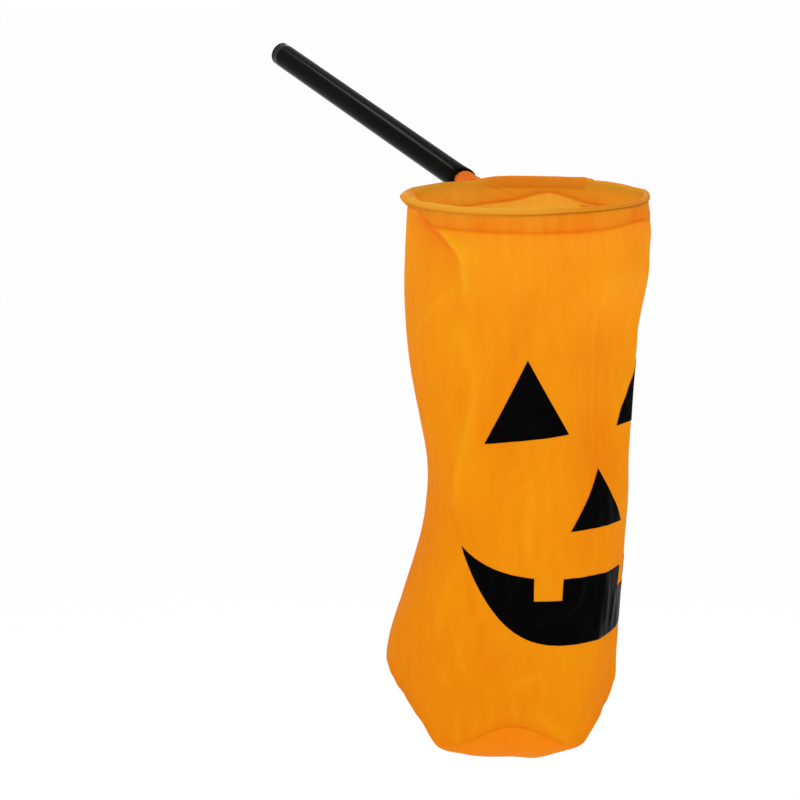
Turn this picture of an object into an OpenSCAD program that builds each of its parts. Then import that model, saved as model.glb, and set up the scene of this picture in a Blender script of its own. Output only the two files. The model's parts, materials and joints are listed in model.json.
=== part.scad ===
// Pumpkin treat bag: a soft orange bag hung on a wire hoop, with a black tube handle.
// Millimetres, +Z up. The origin is the middle of the handle, where a hand grips it.
// The handle lies in the YZ plane, and the bag hangs on its -Y side with the face towards -Y.

/* [Handle] */
// Outer diameter of the handle tube
handle_od = 17; // [14:0.5:24]
// Wall of the handle tube
handle_wall = 1.2; // [0.8:0.1:2]
// Length of the handle tube along its longest side
handle_len = 229; // [160:1:280]
// Angle at which the handle rises from the hoop's plane
handle_rise = 18.5; // [0:0.5:30]
// Slant of the cut across the tube's mouth
mouth_slant = 22; // [0:1:30]
// Side on which the slanted mouth is set back, about the handle's axis
mouth_turn = 210; // [0:5:355]
// Thickness of the end cap's flange
cap_flange = 2.6; // [2:0.1:5]
// Rounding of the end cap's edge
cap_round = 1.4; // [0.5:0.1:1.8]
// Length of the end cap's spigot inside the tube
cap_spigot = 11; // [5:0.5:20]
// Length of the plug that holds the wire tails in the tube
plug_len = 30; // [15:1:50]

/* [Hoop] */
// Diameter of the hoop at the middle of its wire
rim_d = 150; // [110:1:190]
// Diameter of the wire
wire_d = 2.6; // [2:0.1:3.2]
// Fabric wall of the casing round the wire
casing_wall = 1.2; // [0.8:0.1:1.6]
// Depth of the hem below the middle of the wire
hem_depth = 13; // [9:0.5:18]
// Half the distance between the two wire leads at the neck
lead_offset = 2.2; // [1.9:0.1:2.6]
// Bend radius where the wire turns out of the hoop, at the middle of the wire
bend_r = 5; // [4:0.5:8]
// Straight run of the leads from the bend to the neck's pivot
lead_run = 5.8; // [5:0.2:10]
// How far the wire tails reach past the plug
tail_past = 8; // [2:1:30]
// Angle between the hoop's radius at the neck and the handle's plane
neck_skew = 12; // [-15:1:15]
// How far the neck's pivot sits inside the tube's mouth
mouth_cover = 3; // [2:0.5:5]
// Fabric round the leads in the gathered neck
gather_wall = 0.9; // [0.5:0.1:1.5]

/* [Bag] */
// Thickness of the bag's fabric, with its coating and seams
fabric_t = 0.8; // [0.6:0.1:1.4]
// Direction that the broad front panel of the creased bag faces
panel_az = -39.6; // [-90:0.1:90]
// Level of the base seam below the hoop, at the sides
seam_level = 311; // [260:1:380]
// How much lower the base seam hangs at the front panel
seam_front_drop = 13; // [0:1:20]
// How much lower the base seam hangs at the left front corner
left_corner_drop = 18; // [0:1:24]
// How much lower the base seam hangs at the right front corner
right_corner_drop = 13; // [0:1:24]
// Rise of the base seam's left ear, and fall of its right side
ear_tilt = 5; // [0:1:10]
// How far the base bulges below the level of the base seam
base_sag = 45; // [36:1:60]
// How far the left side is drawn in at the waist
waist_left = 15.5; // [0:0.5:25]
// Level of the waist above the base seam
waist_up = 133; // [110:1:160]
// Half the height of the drawn-in waist
waist_reach = 60; // [30:1:90]
// How far the left ear stands out at the base
ear_out = 12; // [0:0.5:18]
// Height over which the left ear flares out
ear_height = 92; // [50:1:120]
// How far the right side tapers in towards the base
taper_right = 12.5; // [0:0.5:20]
// How far the right shoulder swells below the hem
shoulder_right = 4; // [0:0.5:8]
// How far the front and back swell at the waist
belly = 5.5; // [0:0.5:10]
// Depth of the fold under the hem at the left
fold_depth = 5; // [0:0.5:8]
// Width of the seam allowances
seam_allowance = 9; // [6:0.5:14]
// Direction of the side seam
side_seam_az = 108; // [90:1:150]

/* [Face] */
// Direction that the face looks
face_az = -2.5; // [-40:0.5:40]
// Height of the lowest lip above the level of the base seam
face_lift = 43; // [30:1:60]
// Thickness of the black film
film_t = 0.3; // [0.2:0.05:0.6]
// Width of an eye
eye_w = 52; // [30:1:64]
// Height of an eye
eye_h = 48; // [30:1:60]
// Distance between the middles of the eyes
eye_spacing = 98; // [70:1:110]
// Height of the eyes' lower edge above the lowest lip
eye_up = 131; // [115:1:150]
// Width of the nose
nose_w = 44; // [20:1:56]
// Height of the nose
nose_h = 36; // [20:1:44]
// Height of the nose's lower edge above the lowest lip
nose_up = 74; // [70:1:84]
// Width of the mouth from corner to corner
mouth_w = 178; // [120:1:190]
// Height of the mouth's corners above the lowest lip
mouth_h = 63; // [50:1:66]
// How far the upper lip hangs below the mouth's corners
lip_dip = 23.5; // [10:0.5:28]
// Width of a tooth
tooth_w = 18; // [8:0.5:24]
// Height of a tooth
tooth_h = 14; // [6:0.5:18]
// Distance between the middles of the teeth
tooth_spacing = 69; // [40:1:80]

/* [Thread] */
// Diameter of the sewing thread
thread_d = 0.6; // [0.4:0.05:0.9]
// Distance of the stitch rows from the edge that they hold
stitch_inset = 1.6; // [1:0.1:3]

/* [Hidden] */
$fn = 64;

// Clearances
push_play = 0.05;
wire_play = 0.1;
turn_play = 0.4;
cap_step = 0.1;
thread_gap = 0.1;
skin_gap = 0.3;
soft_gap = 0.3;

// Mesh steps round the bag, down the wall and across the base
around = 48;
rows = 20;
bowl_rows = 6;
thread_sides = 6;

// Colours
orange_cloth = "#f39515";
orange_thread = "#d97706";
black_film = "#101010";
black_plastic = "#161616";
steel_wire = "#9a9a9a";

// Handle
handle_r = handle_od / 2;
bore_r = handle_r - handle_wall;
ball_r = bore_r - turn_play;
plug_start = ball_r + turn_play;

// Hoop and neck
rim_r = rim_d / 2;
wire_r = wire_d / 2;
roll_bore = wire_r + wire_play;
roll_r = roll_bore + casing_wall;
neck_reach = rim_r + bend_r + lead_run;
bend_angle = asin((lead_offset + bend_r) / (rim_r + bend_r));
bend_reach = (rim_r + bend_r) * cos(bend_angle);
casing_gap = 1.25 * bend_angle;
neck_shank = lead_offset + wire_r + wire_play + gather_wall;
lead_end = sqrt(pow(ball_r, 2) - pow(lead_offset + wire_r, 2)) - wire_play;
handle_dir = [0, cos(handle_rise), sin(handle_rise)];
neck_dir = [sin(neck_skew), cos(neck_skew), 0];
neck_at = -(handle_len / 2 - mouth_cover) * handle_dir;
hoop_at = neck_at - neck_reach * neck_dir;

// Bag
cloth_r = rim_r + fabric_t / 2;
left_corner = -41;
right_corner = 37;
corner_reach = 15;
fold_at = -55;
fold_reach = 16;
fold_level = 42;
fold_height = 34;
shoulder_level = 25;
shoulder_height = 28;
hem_fade = 30;
square_gain = 0.5;
square_height = 120;
square_loss = 0.4;
base_tuck = 2;
bottom_level = seam_level + base_sag;
bowl_power = 1.5;

// Face
face_swell = 5;
face_r = rim_r + face_swell;
lip_level = seam_level - face_lift;
lip_power = 3.3;

// Rises smoothly from 0 to 1 as t goes from 0 to 1.
function smooth(t) = let (c = min(max(t, 0), 1)) c * c * (3 - 2 * c);

// A round hump of height 1 at the given place.
function bump(x, place, reach) = exp(-pow((x - place) / reach, 2));

// An angle brought into -180 to 180.
function half_turn(a) = a - 360 * round(a / 360);

// How far the bag's sides stand out from the hoop h below it, in the front panel's own directions.
function waist(h) = bump(h, seam_level - waist_up, waist_reach);
function flare(h) = smooth((h - seam_level) / ear_height + 1);
function left_out(h) = ear_out * flare(h) - waist_left * waist(h);
function right_out(h) =
    shoulder_right * bump(h, hem_depth + shoulder_level, shoulder_height)
    - taper_right * smooth(h / seam_level);
function depth_out(h) = belly * waist(h) - base_tuck * flare(h);

// The superellipse's power: 2 is an ellipse, and more is squarer.
function squareness(h) = 2 + square_gain * smooth(h / square_height) - square_loss * flare(h);

// The bag's outer radius at phi from the front panel's middle: a superellipse of the half widths,
// with the fold under the hem, and round where the hem holds it.
function cloth_radius(phi, h) =
    let (
        free = smooth((h - hem_depth) / hem_fade),
        side = cloth_r + free * (sin(phi) < 0 ? left_out(h) : right_out(h)),
        depth = cloth_r + free * depth_out(h),
        n = 2 + free * (squareness(h) - 2),
        r = pow(pow(abs(sin(phi) / side), n) + pow(abs(cos(phi) / depth), n), -1 / n)
    )
    r - free * fold_depth * bump(phi, fold_at, fold_reach) * bump(h, fold_level, fold_height);

// A point on the bag h below the hoop, standing out from its outer face.
function cloth_point(az, h, out) =
    let (r = cloth_radius(half_turn(az - panel_az), h) + out)
    hoop_at + [r * sin(az), -r * cos(az), -h];

// Level of the base seam, which hangs lower at the front panel's two corners.
function seam_drop(az) =
    let (phi = half_turn(az - panel_az))
    seam_level + ear_tilt * sin(phi) + seam_front_drop * max(cos(phi), 0)
    + left_corner_drop * bump(phi, left_corner, corner_reach)
    + right_corner_drop * bump(phi, right_corner, corner_reach);

// Direction of the wall's jth column.
function azimuth(j) = 360 * j / around;

// One ring of the wall, from the hem at v 0 to the base seam at v 1.
function wall_ring(v, out) = [
    for (j = [0 : around - 1])
    let (az = azimuth(j))
    cloth_point(az, hem_depth + v * (seam_drop(az) - hem_depth), out)
];

// One ring of the base's bulge, from its seam at tilt 0 to its middle at tilt 90.
function bowl_ring(tilt, inset) = [
    for (j = [0 : around - 1])
    let (
        az = azimuth(j),
        top = seam_drop(az) + soft_gap,
        r = (cloth_radius(half_turn(az - panel_az), top) - inset) * pow(cos(tilt), bowl_power),
        h = top + (bottom_level - inset - top) * sin(tilt)
    )
    hoop_at + [r * sin(az), -r * cos(az), -h]
];

// Two triangles for a four-cornered face.
function two(a, b, c, d) = [[a, b, c], [a, c, d]];

// All the triangles of a list of pairs.
function flat(pairs) = [for (p = pairs) each p];

// All the points of a list of rows.
function joined(grid) = [for (row = grid) each row];

// A closed wall between two stacks of rings, each from its top ring down.
module ring_shell(outer, inner) {
    m = len(outer);
    n = len(outer[0]);
    k = m * n;
    last = (m - 1) * n;
    sides = flat([
        for (i = [0 : m - 2]) for (j = [0 : n - 1])
        let (a = i * n + j, b = i * n + (j + 1) % n)
        concat(two(a, b, b + n, a + n), two(k + a, k + a + n, k + b + n, k + b))
    ]);
    rims = flat([
        for (j = [0 : n - 1])
        let (b = (j + 1) % n)
        concat(two(j, k + j, k + b, b), two(last + j, last + b, k + last + b, k + last + j))
    ]);
    polyhedron(concat(joined(outer), joined(inner)), concat(sides, rims), convexity = 6);
}

// A bowl between two stacks of rings, from its rim down, closed at two poles.
module bowl_shell(outer, inner, outer_pole, inner_pole) {
    m = len(outer);
    n = len(outer[0]);
    k = m * n;
    last = (m - 1) * n;
    sides = flat([
        for (i = [0 : m - 2]) for (j = [0 : n - 1])
        let (a = i * n + j, b = i * n + (j + 1) % n)
        concat(two(a, b, b + n, a + n), two(k + a, k + a + n, k + b + n, k + b))
    ]);
    ends = flat([
        for (j = [0 : n - 1])
        let (b = (j + 1) % n)
        concat(
            two(j, k + j, k + b, b),
            [[last + j, last + b, 2 * k], [k + last + b, k + last + j, 2 * k + 1]]
        )
    ]);
    points = concat(joined(outer), joined(inner), [outer_pole, inner_pole]);
    polyhedron(points, concat(sides, ends), convexity = 6);
}

// A thin sheet between two grids of rows, seen with rows going down and columns going right.
module sheet(front, back) {
    m = len(front);
    n = len(front[0]);
    k = m * n;
    last = (m - 1) * n;
    faces = flat([
        for (i = [0 : m - 2]) for (j = [0 : n - 2])
        let (a = i * n + j)
        concat(two(a, a + 1, a + n + 1, a + n), two(k + a, k + a + n, k + a + n + 1, k + a + 1))
    ]);
    ends = flat([
        for (j = [0 : n - 2])
        let (a = last + j)
        concat(two(j, k + j, k + j + 1, j + 1), two(a, a + 1, k + a + 1, k + a))
    ]);
    edges = flat([
        for (i = [0 : m - 2])
        let (a = i * n, b = i * n + n - 1)
        concat(two(a, a + n, k + a + n, k + a), two(b, k + b, k + b + n, b + n))
    ]);
    polyhedron(concat(joined(front), joined(back)), concat(faces, ends, edges), convexity = 6);
}

// A straight thread down the bag, with a flat cap at each end.
module thread_down(az, top, bottom, out) {
    r = thread_d / 2;
    rings = [
        for (i = [0 : rows])
        let (h = top + (bottom - top) * i / rows, c = cloth_point(az, h, out + r))
        [
            for (s = [0 : thread_sides - 1])
            let (t = 360 * s / thread_sides)
            c + r * (cos(t) * [sin(az), -cos(az), 0] + sin(t) * [cos(az), sin(az), 0])
        ]
    ];
    n = thread_sides;
    sides = flat([
        for (i = [0 : rows - 1]) for (j = [0 : n - 1])
        let (a = i * n + j, b = i * n + (j + 1) % n)
        two(a, b, b + n, a + n)
    ]);
    caps = [[for (j = [n - 1 : -1 : 0]) j], [for (j = [0 : n - 1]) rows * n + j]];
    polyhedron(joined(rings), concat(sides, caps), convexity = 4);
}

// A closed thread round the bag, below the base seam.
module thread_round(below, out) {
    r = thread_d / 2;
    n = thread_sides;
    rings = [
        for (j = [0 : around - 1])
        let (az = azimuth(j), c = cloth_point(az, seam_drop(az) + below, out + r))
        [
            for (s = [0 : n - 1])
            let (t = 360 * s / n)
            c + r * [cos(t) * sin(az), -cos(t) * cos(az), sin(t)]
        ]
    ];
    faces = flat([
        for (i = [0 : around - 1]) for (j = [0 : n - 1])
        let (a = i * n, b = (i + 1) % around * n, c = (j + 1) % n)
        two(a + j, a + c, b + c, b + j)
    ]);
    polyhedron(joined(rings), faces, convexity = 6);
}

// A film patch from left to right columns, each a list of heights above the lowest lip, top first.
// Sideways places are measured along the bag from the face's middle.
module film(columns) {
    m = len(columns[0][1]);
    function spot(c, i, out) =
        cloth_point(face_az + c[0] / face_r * 180 / PI, lip_level - c[1][i], out);
    front = [for (i = [0 : m - 1]) [for (c = columns) spot(c, i, skin_gap + film_t)]];
    back = [for (i = [0 : m - 1]) [for (c = columns) spot(c, i, skin_gap)]];
    sheet(front, back);
}

// Places things along the handle, with z running from the mouth to the end cap.
module along_handle() {
    rotate([handle_rise - 90, 0, 0]) children();
}

// Places things at the hoop's middle, with y pointing to the neck.
module at_hoop() {
    translate(hoop_at) rotate([0, 0, -neck_skew]) children();
}

module handle_tube() {
    color(black_plastic) along_handle() difference() {
        translate([0, 0, -handle_len / 2]) cylinder(r = handle_r, h = handle_len);
        translate([0, 0, -handle_len]) cylinder(r = bore_r, h = 2 * handle_len);
        rotate([0, 0, mouth_turn]) translate([-handle_r, 0, -handle_len / 2])
            rotate([0, -mouth_slant, 0]) translate([-handle_od, -handle_od, -2 * handle_od])
            cube([4 * handle_od, 2 * handle_od, 2 * handle_od]);
    }
}

module handle_end_cap() {
    flange_r = handle_r - cap_step;
    color(black_plastic) along_handle() translate([0, 0, handle_len / 2]) union() {
        translate([0, 0, -cap_spigot]) cylinder(r = bore_r - push_play, h = cap_spigot);
        cylinder(r = flange_r, h = cap_flange - cap_round);
        cylinder(r = flange_r - cap_round, h = cap_flange);
        translate([0, 0, cap_flange - cap_round])
            rotate_extrude() translate([flange_r - cap_round, 0]) circle(r = cap_round);
    }
}

module neck_plug() {
    color(black_plastic) along_handle()
        translate([0, 0, mouth_cover - handle_len / 2 + plug_start]) difference() {
            cylinder(r = bore_r - push_play, h = plug_len);
            for (x = [-lead_offset, lead_offset])
                translate([x, 0, -plug_len]) cylinder(r = wire_r + wire_play, h = 3 * plug_len);
        }
}

module wire_tails() {
    color(steel_wire) along_handle()
        translate([0, 0, mouth_cover - handle_len / 2 + plug_start])
        for (x = [-lead_offset, lead_offset])
            translate([x, 0, 0]) cylinder(r = wire_r, h = plug_len + tail_past);
}

// The two straight leads from the hoop's bends, through the neck.
module leads(r, start, end) {
    for (x = [-lead_offset, lead_offset])
        translate([x, start, 0]) rotate([-90, 0, 0]) cylinder(r = r, h = end - start);
}

// The bends are a hair thinner than the wire and lap a little way into the pieces that they join.
module rim_wire() {
    lap = 3;
    hair = 0.03;
    color(steel_wire) at_hoop() union() {
        rotate([0, 0, 90 + bend_angle])
            rotate_extrude(angle = 360 - 2 * bend_angle) translate([rim_r, 0]) circle(r = wire_r);
        for (side = [-1, 1])
            translate([side * (lead_offset + bend_r), bend_reach, 0])
                rotate([0, 0, (side > 0 ? 180 : 270 + bend_angle) - lap])
                rotate_extrude(angle = 90 - bend_angle + 2 * lap)
                translate([bend_r, 0]) circle(r = wire_r - hair);
        leads(wire_r, bend_reach, neck_reach + lead_end);
    }
}

// The roll stops short of the neck on both sides, and the band below it runs all round.
module rim_casing() {
    color(orange_cloth) at_hoop() union() {
        rotate([0, 0, 90 + casing_gap])
            rotate_extrude(angle = 360 - 2 * casing_gap) translate([rim_r, 0]) difference() {
                circle(r = roll_r);
                circle(r = roll_bore);
            }
        rotate_extrude() translate([rim_r - fabric_t / 2, -hem_depth])
            square([fabric_t, hem_depth - roll_bore - casing_wall / 2]);
    }
}

module neck_gather() {
    color(orange_cloth) at_hoop() difference() {
        union() {
            translate([0, neck_reach, 0]) sphere(r = ball_r);
            translate([0, bend_reach, 0]) rotate([-90, 0, 0])
                cylinder(r = neck_shank, h = neck_reach - bend_reach);
        }
        leads(wire_r + wire_play, bend_reach - bend_r, neck_reach + 2 * ball_r);
    }
}

module hem_thread() {
    color(orange_thread) at_hoop()
        rotate_extrude()
        translate([cloth_r + thread_gap + thread_d / 2, stitch_inset - hem_depth])
        circle(d = thread_d, $fn = 16);
}

module bag_wall() {
    color(orange_cloth) ring_shell(
        [for (i = [0 : rows]) wall_ring(i / rows, 0)],
        [for (i = [0 : rows]) wall_ring(i / rows, -fabric_t)]
    );
}

module side_seam() {
    half = seam_allowance / 2 / cloth_r * 180 / PI;
    bottom = seam_drop(side_seam_az) - seam_allowance - soft_gap;
    function strip(out) = [
        for (i = [0 : rows])
        [
            for (s = [-half, 0, half])
            cloth_point(side_seam_az + s, hem_depth + (bottom - hem_depth) * i / rows, out)
        ]
    ];
    color(orange_cloth) sheet(strip(-fabric_t - skin_gap), strip(-2 * fabric_t - skin_gap));
}

module side_thread() {
    color(orange_thread)
        thread_down(side_seam_az, hem_depth, seam_drop(side_seam_az) - stitch_inset, thread_gap);
}

module eye(side) {
    steps = 6;
    function height(i, x) = eye_up + eye_h * (1 - i / steps) * (1 - abs(x));
    color(black_film) film([
        for (x = [-1 : 1 / steps : 1])
        [
            side * eye_spacing / 2 + x * (eye_w / 2 - film_t),
            [for (i = [0 : steps]) height(i, x) + (i == 0 ? film_t : 0)]
        ]
    ]);
}

module left_eye() {
    eye(-1);
}

module right_eye() {
    eye(1);
}

module nose() {
    steps = 5;
    color(black_film) film([
        for (x = [-1 : 1 / steps : 1])
        [
            x * (nose_w / 2 - film_t),
            [
                for (i = [0 : steps])
                nose_up + nose_h * (1 - i / steps) * (1 - abs(x)) + (i == 0 ? film_t : 0)
            ]
        ]
    ]);
}

// The mouth's columns pass each side of a tooth twice, a hair apart, so that the teeth are square.
module mouth() {
    half = mouth_w / 2;
    hair = film_t / 2;
    steps = 4;
    inner = tooth_spacing / 2 - tooth_w / 2;
    outer = tooth_spacing / 2 + tooth_w / 2;
    plain = [for (x = [-1 + 1 / 16 : 1 / 16 : 1 - 1 / 16]) x * half];
    sides = [for (x = [inner, outer]) for (s = [-1, 1]) for (d = [-hair, hair]) s * x + d];
    clear = [for (x = plain) if (min([for (s = sides) abs(x - s)]) > 2 * hair) x];
    places = sorted(concat(clear, sides, [hair - half, half - hair]));
    function on_tooth(x) = abs(x) > inner && abs(x) < outer;
    function upper(x) =
        mouth_h - lip_dip * (1 - pow(x / half, 2)) - (on_tooth(x) ? tooth_h : 0);
    function lower(x) = mouth_h * pow(abs(x) / half, lip_power);
    color(black_film) film([
        for (x = places)
        let (top = upper(x) + film_t, bottom = lower(x))
        [x, [for (i = [0 : steps]) top + (bottom - top) * i / steps]]
    ]);
}

// A list of numbers in rising order.
function sorted(list) =
    len(list) < 2 ? list :
    let (p = list[0], rest = [for (i = [1 : len(list) - 1]) list[i]])
    concat(sorted([for (x = rest) if (x < p) x]), [p], sorted([for (x = rest) if (x >= p) x]));

module base_panel() {
    tilts = [for (i = [0 : bowl_rows - 1]) 90 * i / bowl_rows];
    color(orange_cloth) bowl_shell(
        [for (t = tilts) bowl_ring(t, 0)],
        [for (t = tilts) bowl_ring(t, fabric_t)],
        hoop_at - [0, 0, bottom_level],
        hoop_at - [0, 0, bottom_level - fabric_t]
    );
}

module base_seam() {
    inset = fabric_t + soft_gap;
    function strip(out) = [
        for (i = [0 : 2])
        [
            for (j = [0 : around - 1])
            let (az = azimuth(j))
            cloth_point(az, seam_drop(az) - seam_allowance * (1 - i / 2), out)
        ]
    ];
    color(orange_cloth) ring_shell(strip(-inset), strip(-inset - fabric_t));
}

module base_thread() {
    color(orange_thread) thread_round(stitch_inset, thread_gap);
}

handle_tube();
handle_end_cap();
neck_plug();
wire_tails();
rim_wire();
rim_casing();
neck_gather();
hem_thread();
bag_wall();
side_seam();
side_thread();
left_eye();
right_eye();
nose();
mouth();
base_panel();
base_seam();
base_thread();
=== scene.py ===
"""Looks of the pumpkin treat bag: a soft orange bag on a wire hoop, with a black tube handle.

Sizes are in millimetres and degrees, and MM turns them into the frame's metres. A place on the bag is
given by its direction round the hoop and its level below the hoop.
"""

import json
import logging
import math
from dataclasses import dataclass, field
from enum import Enum
from functools import cached_property

import bpy
import numpy as np
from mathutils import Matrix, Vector


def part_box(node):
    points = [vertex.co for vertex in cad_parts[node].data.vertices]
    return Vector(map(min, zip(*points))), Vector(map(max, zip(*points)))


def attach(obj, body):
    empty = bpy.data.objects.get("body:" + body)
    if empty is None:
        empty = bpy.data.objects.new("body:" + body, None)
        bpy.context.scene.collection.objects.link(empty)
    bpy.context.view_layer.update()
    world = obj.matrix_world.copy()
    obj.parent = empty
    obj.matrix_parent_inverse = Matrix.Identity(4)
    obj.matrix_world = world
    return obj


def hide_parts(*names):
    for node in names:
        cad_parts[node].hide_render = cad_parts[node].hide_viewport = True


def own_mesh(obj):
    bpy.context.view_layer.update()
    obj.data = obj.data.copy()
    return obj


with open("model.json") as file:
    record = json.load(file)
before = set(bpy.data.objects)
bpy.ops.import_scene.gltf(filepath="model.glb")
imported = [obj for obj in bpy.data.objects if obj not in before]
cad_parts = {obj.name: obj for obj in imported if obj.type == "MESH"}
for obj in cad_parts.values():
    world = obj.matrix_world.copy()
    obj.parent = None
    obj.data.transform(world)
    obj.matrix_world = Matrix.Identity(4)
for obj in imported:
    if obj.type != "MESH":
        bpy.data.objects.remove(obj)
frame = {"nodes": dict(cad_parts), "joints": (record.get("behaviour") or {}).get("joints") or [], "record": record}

LOG = logging.getLogger("treat_bag")
MM = 0.001
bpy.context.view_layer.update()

Array = np.ndarray
Piece = bpy.types.Object
Socket = bpy.types.NodeSocket
Tree = bpy.types.NodeTree
Colour = tuple[float, float, float]
Waves = tuple[tuple[float, int, float], ...]


class Body(Enum):
    """The bodies that pieces ride on."""

    HANDLE = "handle"
    HOOP = "hoop"
    BASE = "base"


class Slot(Enum):
    """The record's material slots."""

    CLOTH = "orange_cloth"
    THREAD = "orange_thread"
    FILM = "black_film"
    PLASTIC = "black_plastic"


class FoldForm(Enum):
    """How the cloth stands out across a fold."""

    RIDGE = "a round hump"
    CREASE = "a sharp crest"
    TUCK = "a drop on the path's right, which fades out"


def smooth(t: Array) -> Array:
    """Rises smoothly from 0 to 1 as t goes from 0 to 1: 3t^2 - 2t^3."""
    c = np.clip(t, 0.0, 1.0)
    return c * c * (3.0 - 2.0 * c)


def bump(x: Array, place: Array | float, reach: float) -> Array:
    """A round hump of height 1 at the given place: exp(-((x - place) / reach)^2)."""
    return np.exp(-(((x - place) / reach) ** 2))


def half_turn(angle: Array) -> Array:
    """An angle brought into -180 to 180 degrees."""
    return angle - 360.0 * np.round(angle / 360.0)


def wavy(phi: Array, waves: Waves) -> Array:
    """A sum of waves, each given by its height, its number round the bag and its phase in degrees."""
    return sum(height * np.sin(np.radians(count * phi + phase)) for height, count, phase in waves)


@dataclass(frozen=True)
class Hump:
    """A round hump over the directions round the bag: height exp(-(turn / reach)^2).

    Attributes:
        height: its height, below 0 for a hollow.
        place: its direction.
        reach: how far it spreads, in degrees.
    """

    height: float
    place: float
    reach: float

    def at(self, phi: Array) -> Array:
        """The hump's height at each direction."""
        return self.height * bump(half_turn(phi - self.place), 0, self.reach)


@dataclass(frozen=True)
class Ramp:
    """A smooth step from 0 to 1.

    Attributes:
        start: where it starts.
        fade: its length.
    """

    start: float
    fade: float

    def at(self, x: Array) -> Array:
        """The step's value at each place."""
        return smooth((x - self.start) / self.fade)


@dataclass(frozen=True)
class Stretch:
    """A stretch of directions, 1 inside it and 0 outside, with a smooth step at each end.

    Attributes:
        start: direction at which it starts.
        start_fade: length of the step there, in degrees.
        end: direction at which it ends.
        end_fade: length of the step there.
    """

    start: float
    start_fade: float
    end: float
    end_fade: float

    def at(self, phi: Array) -> Array:
        """The stretch's value at each direction."""
        return smooth((phi - self.start) / self.start_fade) * smooth((self.end - phi) / self.end_fade)


def spline(knots: Array, per_knot: int) -> Array:
    """A smooth line through a few points (Catmull-Rom).

    Args:
        knots: the points, one in each row.
        per_knot: how many points the line gets for each of them.

    Returns:
        The line's points, one in each row.
    """
    padded = np.vstack([2 * knots[0] - knots[1], knots, 2 * knots[-1] - knots[-2]])
    place = np.linspace(0, len(knots) - 1, per_knot * len(knots))
    k = np.minimum(place.astype(int), len(knots) - 2)
    t = (place - k)[:, None]
    a, b, c, d = (padded[k + i] for i in range(4))
    return 0.5 * (2 * b + (c - a) * t + (2 * a - 5 * b + 4 * c - d) * t**2 + (3 * b - a - 3 * c + d) * t**3)


def grid_faces(rows: int, columns: int, wrap_columns: bool = False, wrap_rows: bool = False) -> Array:
    """Four-cornered faces of a grid whose rows run down and columns run right, seen from outside.

    Args:
        rows: number of rows of points.
        columns: number of columns of points.
        wrap_columns: the last column joins the first.
        wrap_rows: the last row joins the first.

    Returns:
        One face in each row, as four point numbers.
    """
    i, j = np.meshgrid(
        np.arange(rows if wrap_rows else rows - 1),
        np.arange(columns if wrap_columns else columns - 1),
        indexing="ij",
    )
    below, beside = (i + 1) % rows, (j + 1) % columns
    corners = [i * columns + j, below * columns + j, below * columns + beside, i * columns + beside]
    return np.stack([c.ravel() for c in corners], axis=1)


def grid_corners(u: Array, v: Array) -> Array:
    """Cloth coordinates at each face's corners, for a grid with one more row and column of edges.

    Args:
        u: distance along the columns, with its closing value.
        v: distance down the rows, with its closing value.

    Returns:
        Four pairs for each face, in the order of grid_faces.
    """
    vv, uu = np.meshgrid(v * MM, u * MM, indexing="ij")
    uv = np.stack([uu, vv], axis=-1)
    parts = [uv[:-1, :-1], uv[1:, :-1], uv[1:, 1:], uv[:-1, 1:]]
    return np.stack([p.reshape(-1, 2) for p in parts], axis=1)


def mesh_object(
    name: str, points: Array, faces: list[Array], corners: list[Array] | None = None
) -> Piece:
    """A smooth mesh object from points in millimetres.

    Args:
        name: the piece's name.
        points: the points, in any grid shape with three numbers at the end.
        faces: blocks of faces, each block with one number of corners.
        corners: cloth coordinates of the faces' corners, block by block.

    Returns:
        The new object, at the origin.
    """
    mesh = bpy.data.meshes.new(name)
    polygons = [face for block in faces for face in block.tolist()]
    mesh.from_pydata((points.reshape(-1, 3) * MM).tolist(), [], polygons)
    if corners is not None:
        layer = mesh.uv_layers.new(name="cloth")
        layer.data.foreach_set("uv", np.concatenate([c.ravel() for c in corners]))
    mesh.shade_smooth()
    piece = bpy.data.objects.new(name, mesh)
    bpy.context.scene.collection.objects.link(piece)
    return piece


def add_attribute(piece: Piece, name: str, values: Array) -> None:
    """Stores one number for each point of a piece, in the points' order."""
    attribute = piece.data.attributes.new(name, "FLOAT", "POINT")
    attribute.data.foreach_set("value", values.astype(np.float32).ravel())


def thicken(piece: Piece, thickness: float, inner_finish_offset: int = 0) -> None:
    """Gives a sheet its thickness on its inner side.

    Args:
        piece: the sheet.
        thickness: its thickness in millimetres.
        inner_finish_offset: how many material slots further the inner side's material is.
    """
    wall = piece.modifiers.new("thickness", "SOLIDIFY")
    wall.thickness = thickness * MM
    wall.offset = -1.0
    wall.material_offset = inner_finish_offset


def tubes(centres: Array, first: Array, second: Array, sides: int) -> tuple[Array, list[Array]]:
    """Many short tubes with closed ends: rings of first cos t + second sin t about each centre.

    Args:
        centres: ring centres, as (tube, ring, 3).
        first: one radius vector of each ring.
        second: the other radius vector of each ring.
        sides: points in a ring.

    Returns:
        The points, and the faces in two blocks.
    """
    count, rings = centres.shape[:2]
    t = 2 * np.pi * np.arange(sides) / sides
    points = (
        centres[:, :, None]
        + first[:, :, None] * np.cos(t)[None, None, :, None]
        + second[:, :, None] * np.sin(t)[None, None, :, None]
    )
    start = (np.arange(count) * rings * sides)[:, None, None]
    walls = (start + grid_faces(rings, sides, wrap_columns=True)[None]).reshape(-1, 4)
    near = start[:, :, 0] + np.arange(sides)[None]
    far = start[:, :, 0] + (rings - 1) * sides + np.arange(sides)[None, ::-1]
    return points, [walls, np.vstack([near, far])]


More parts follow.
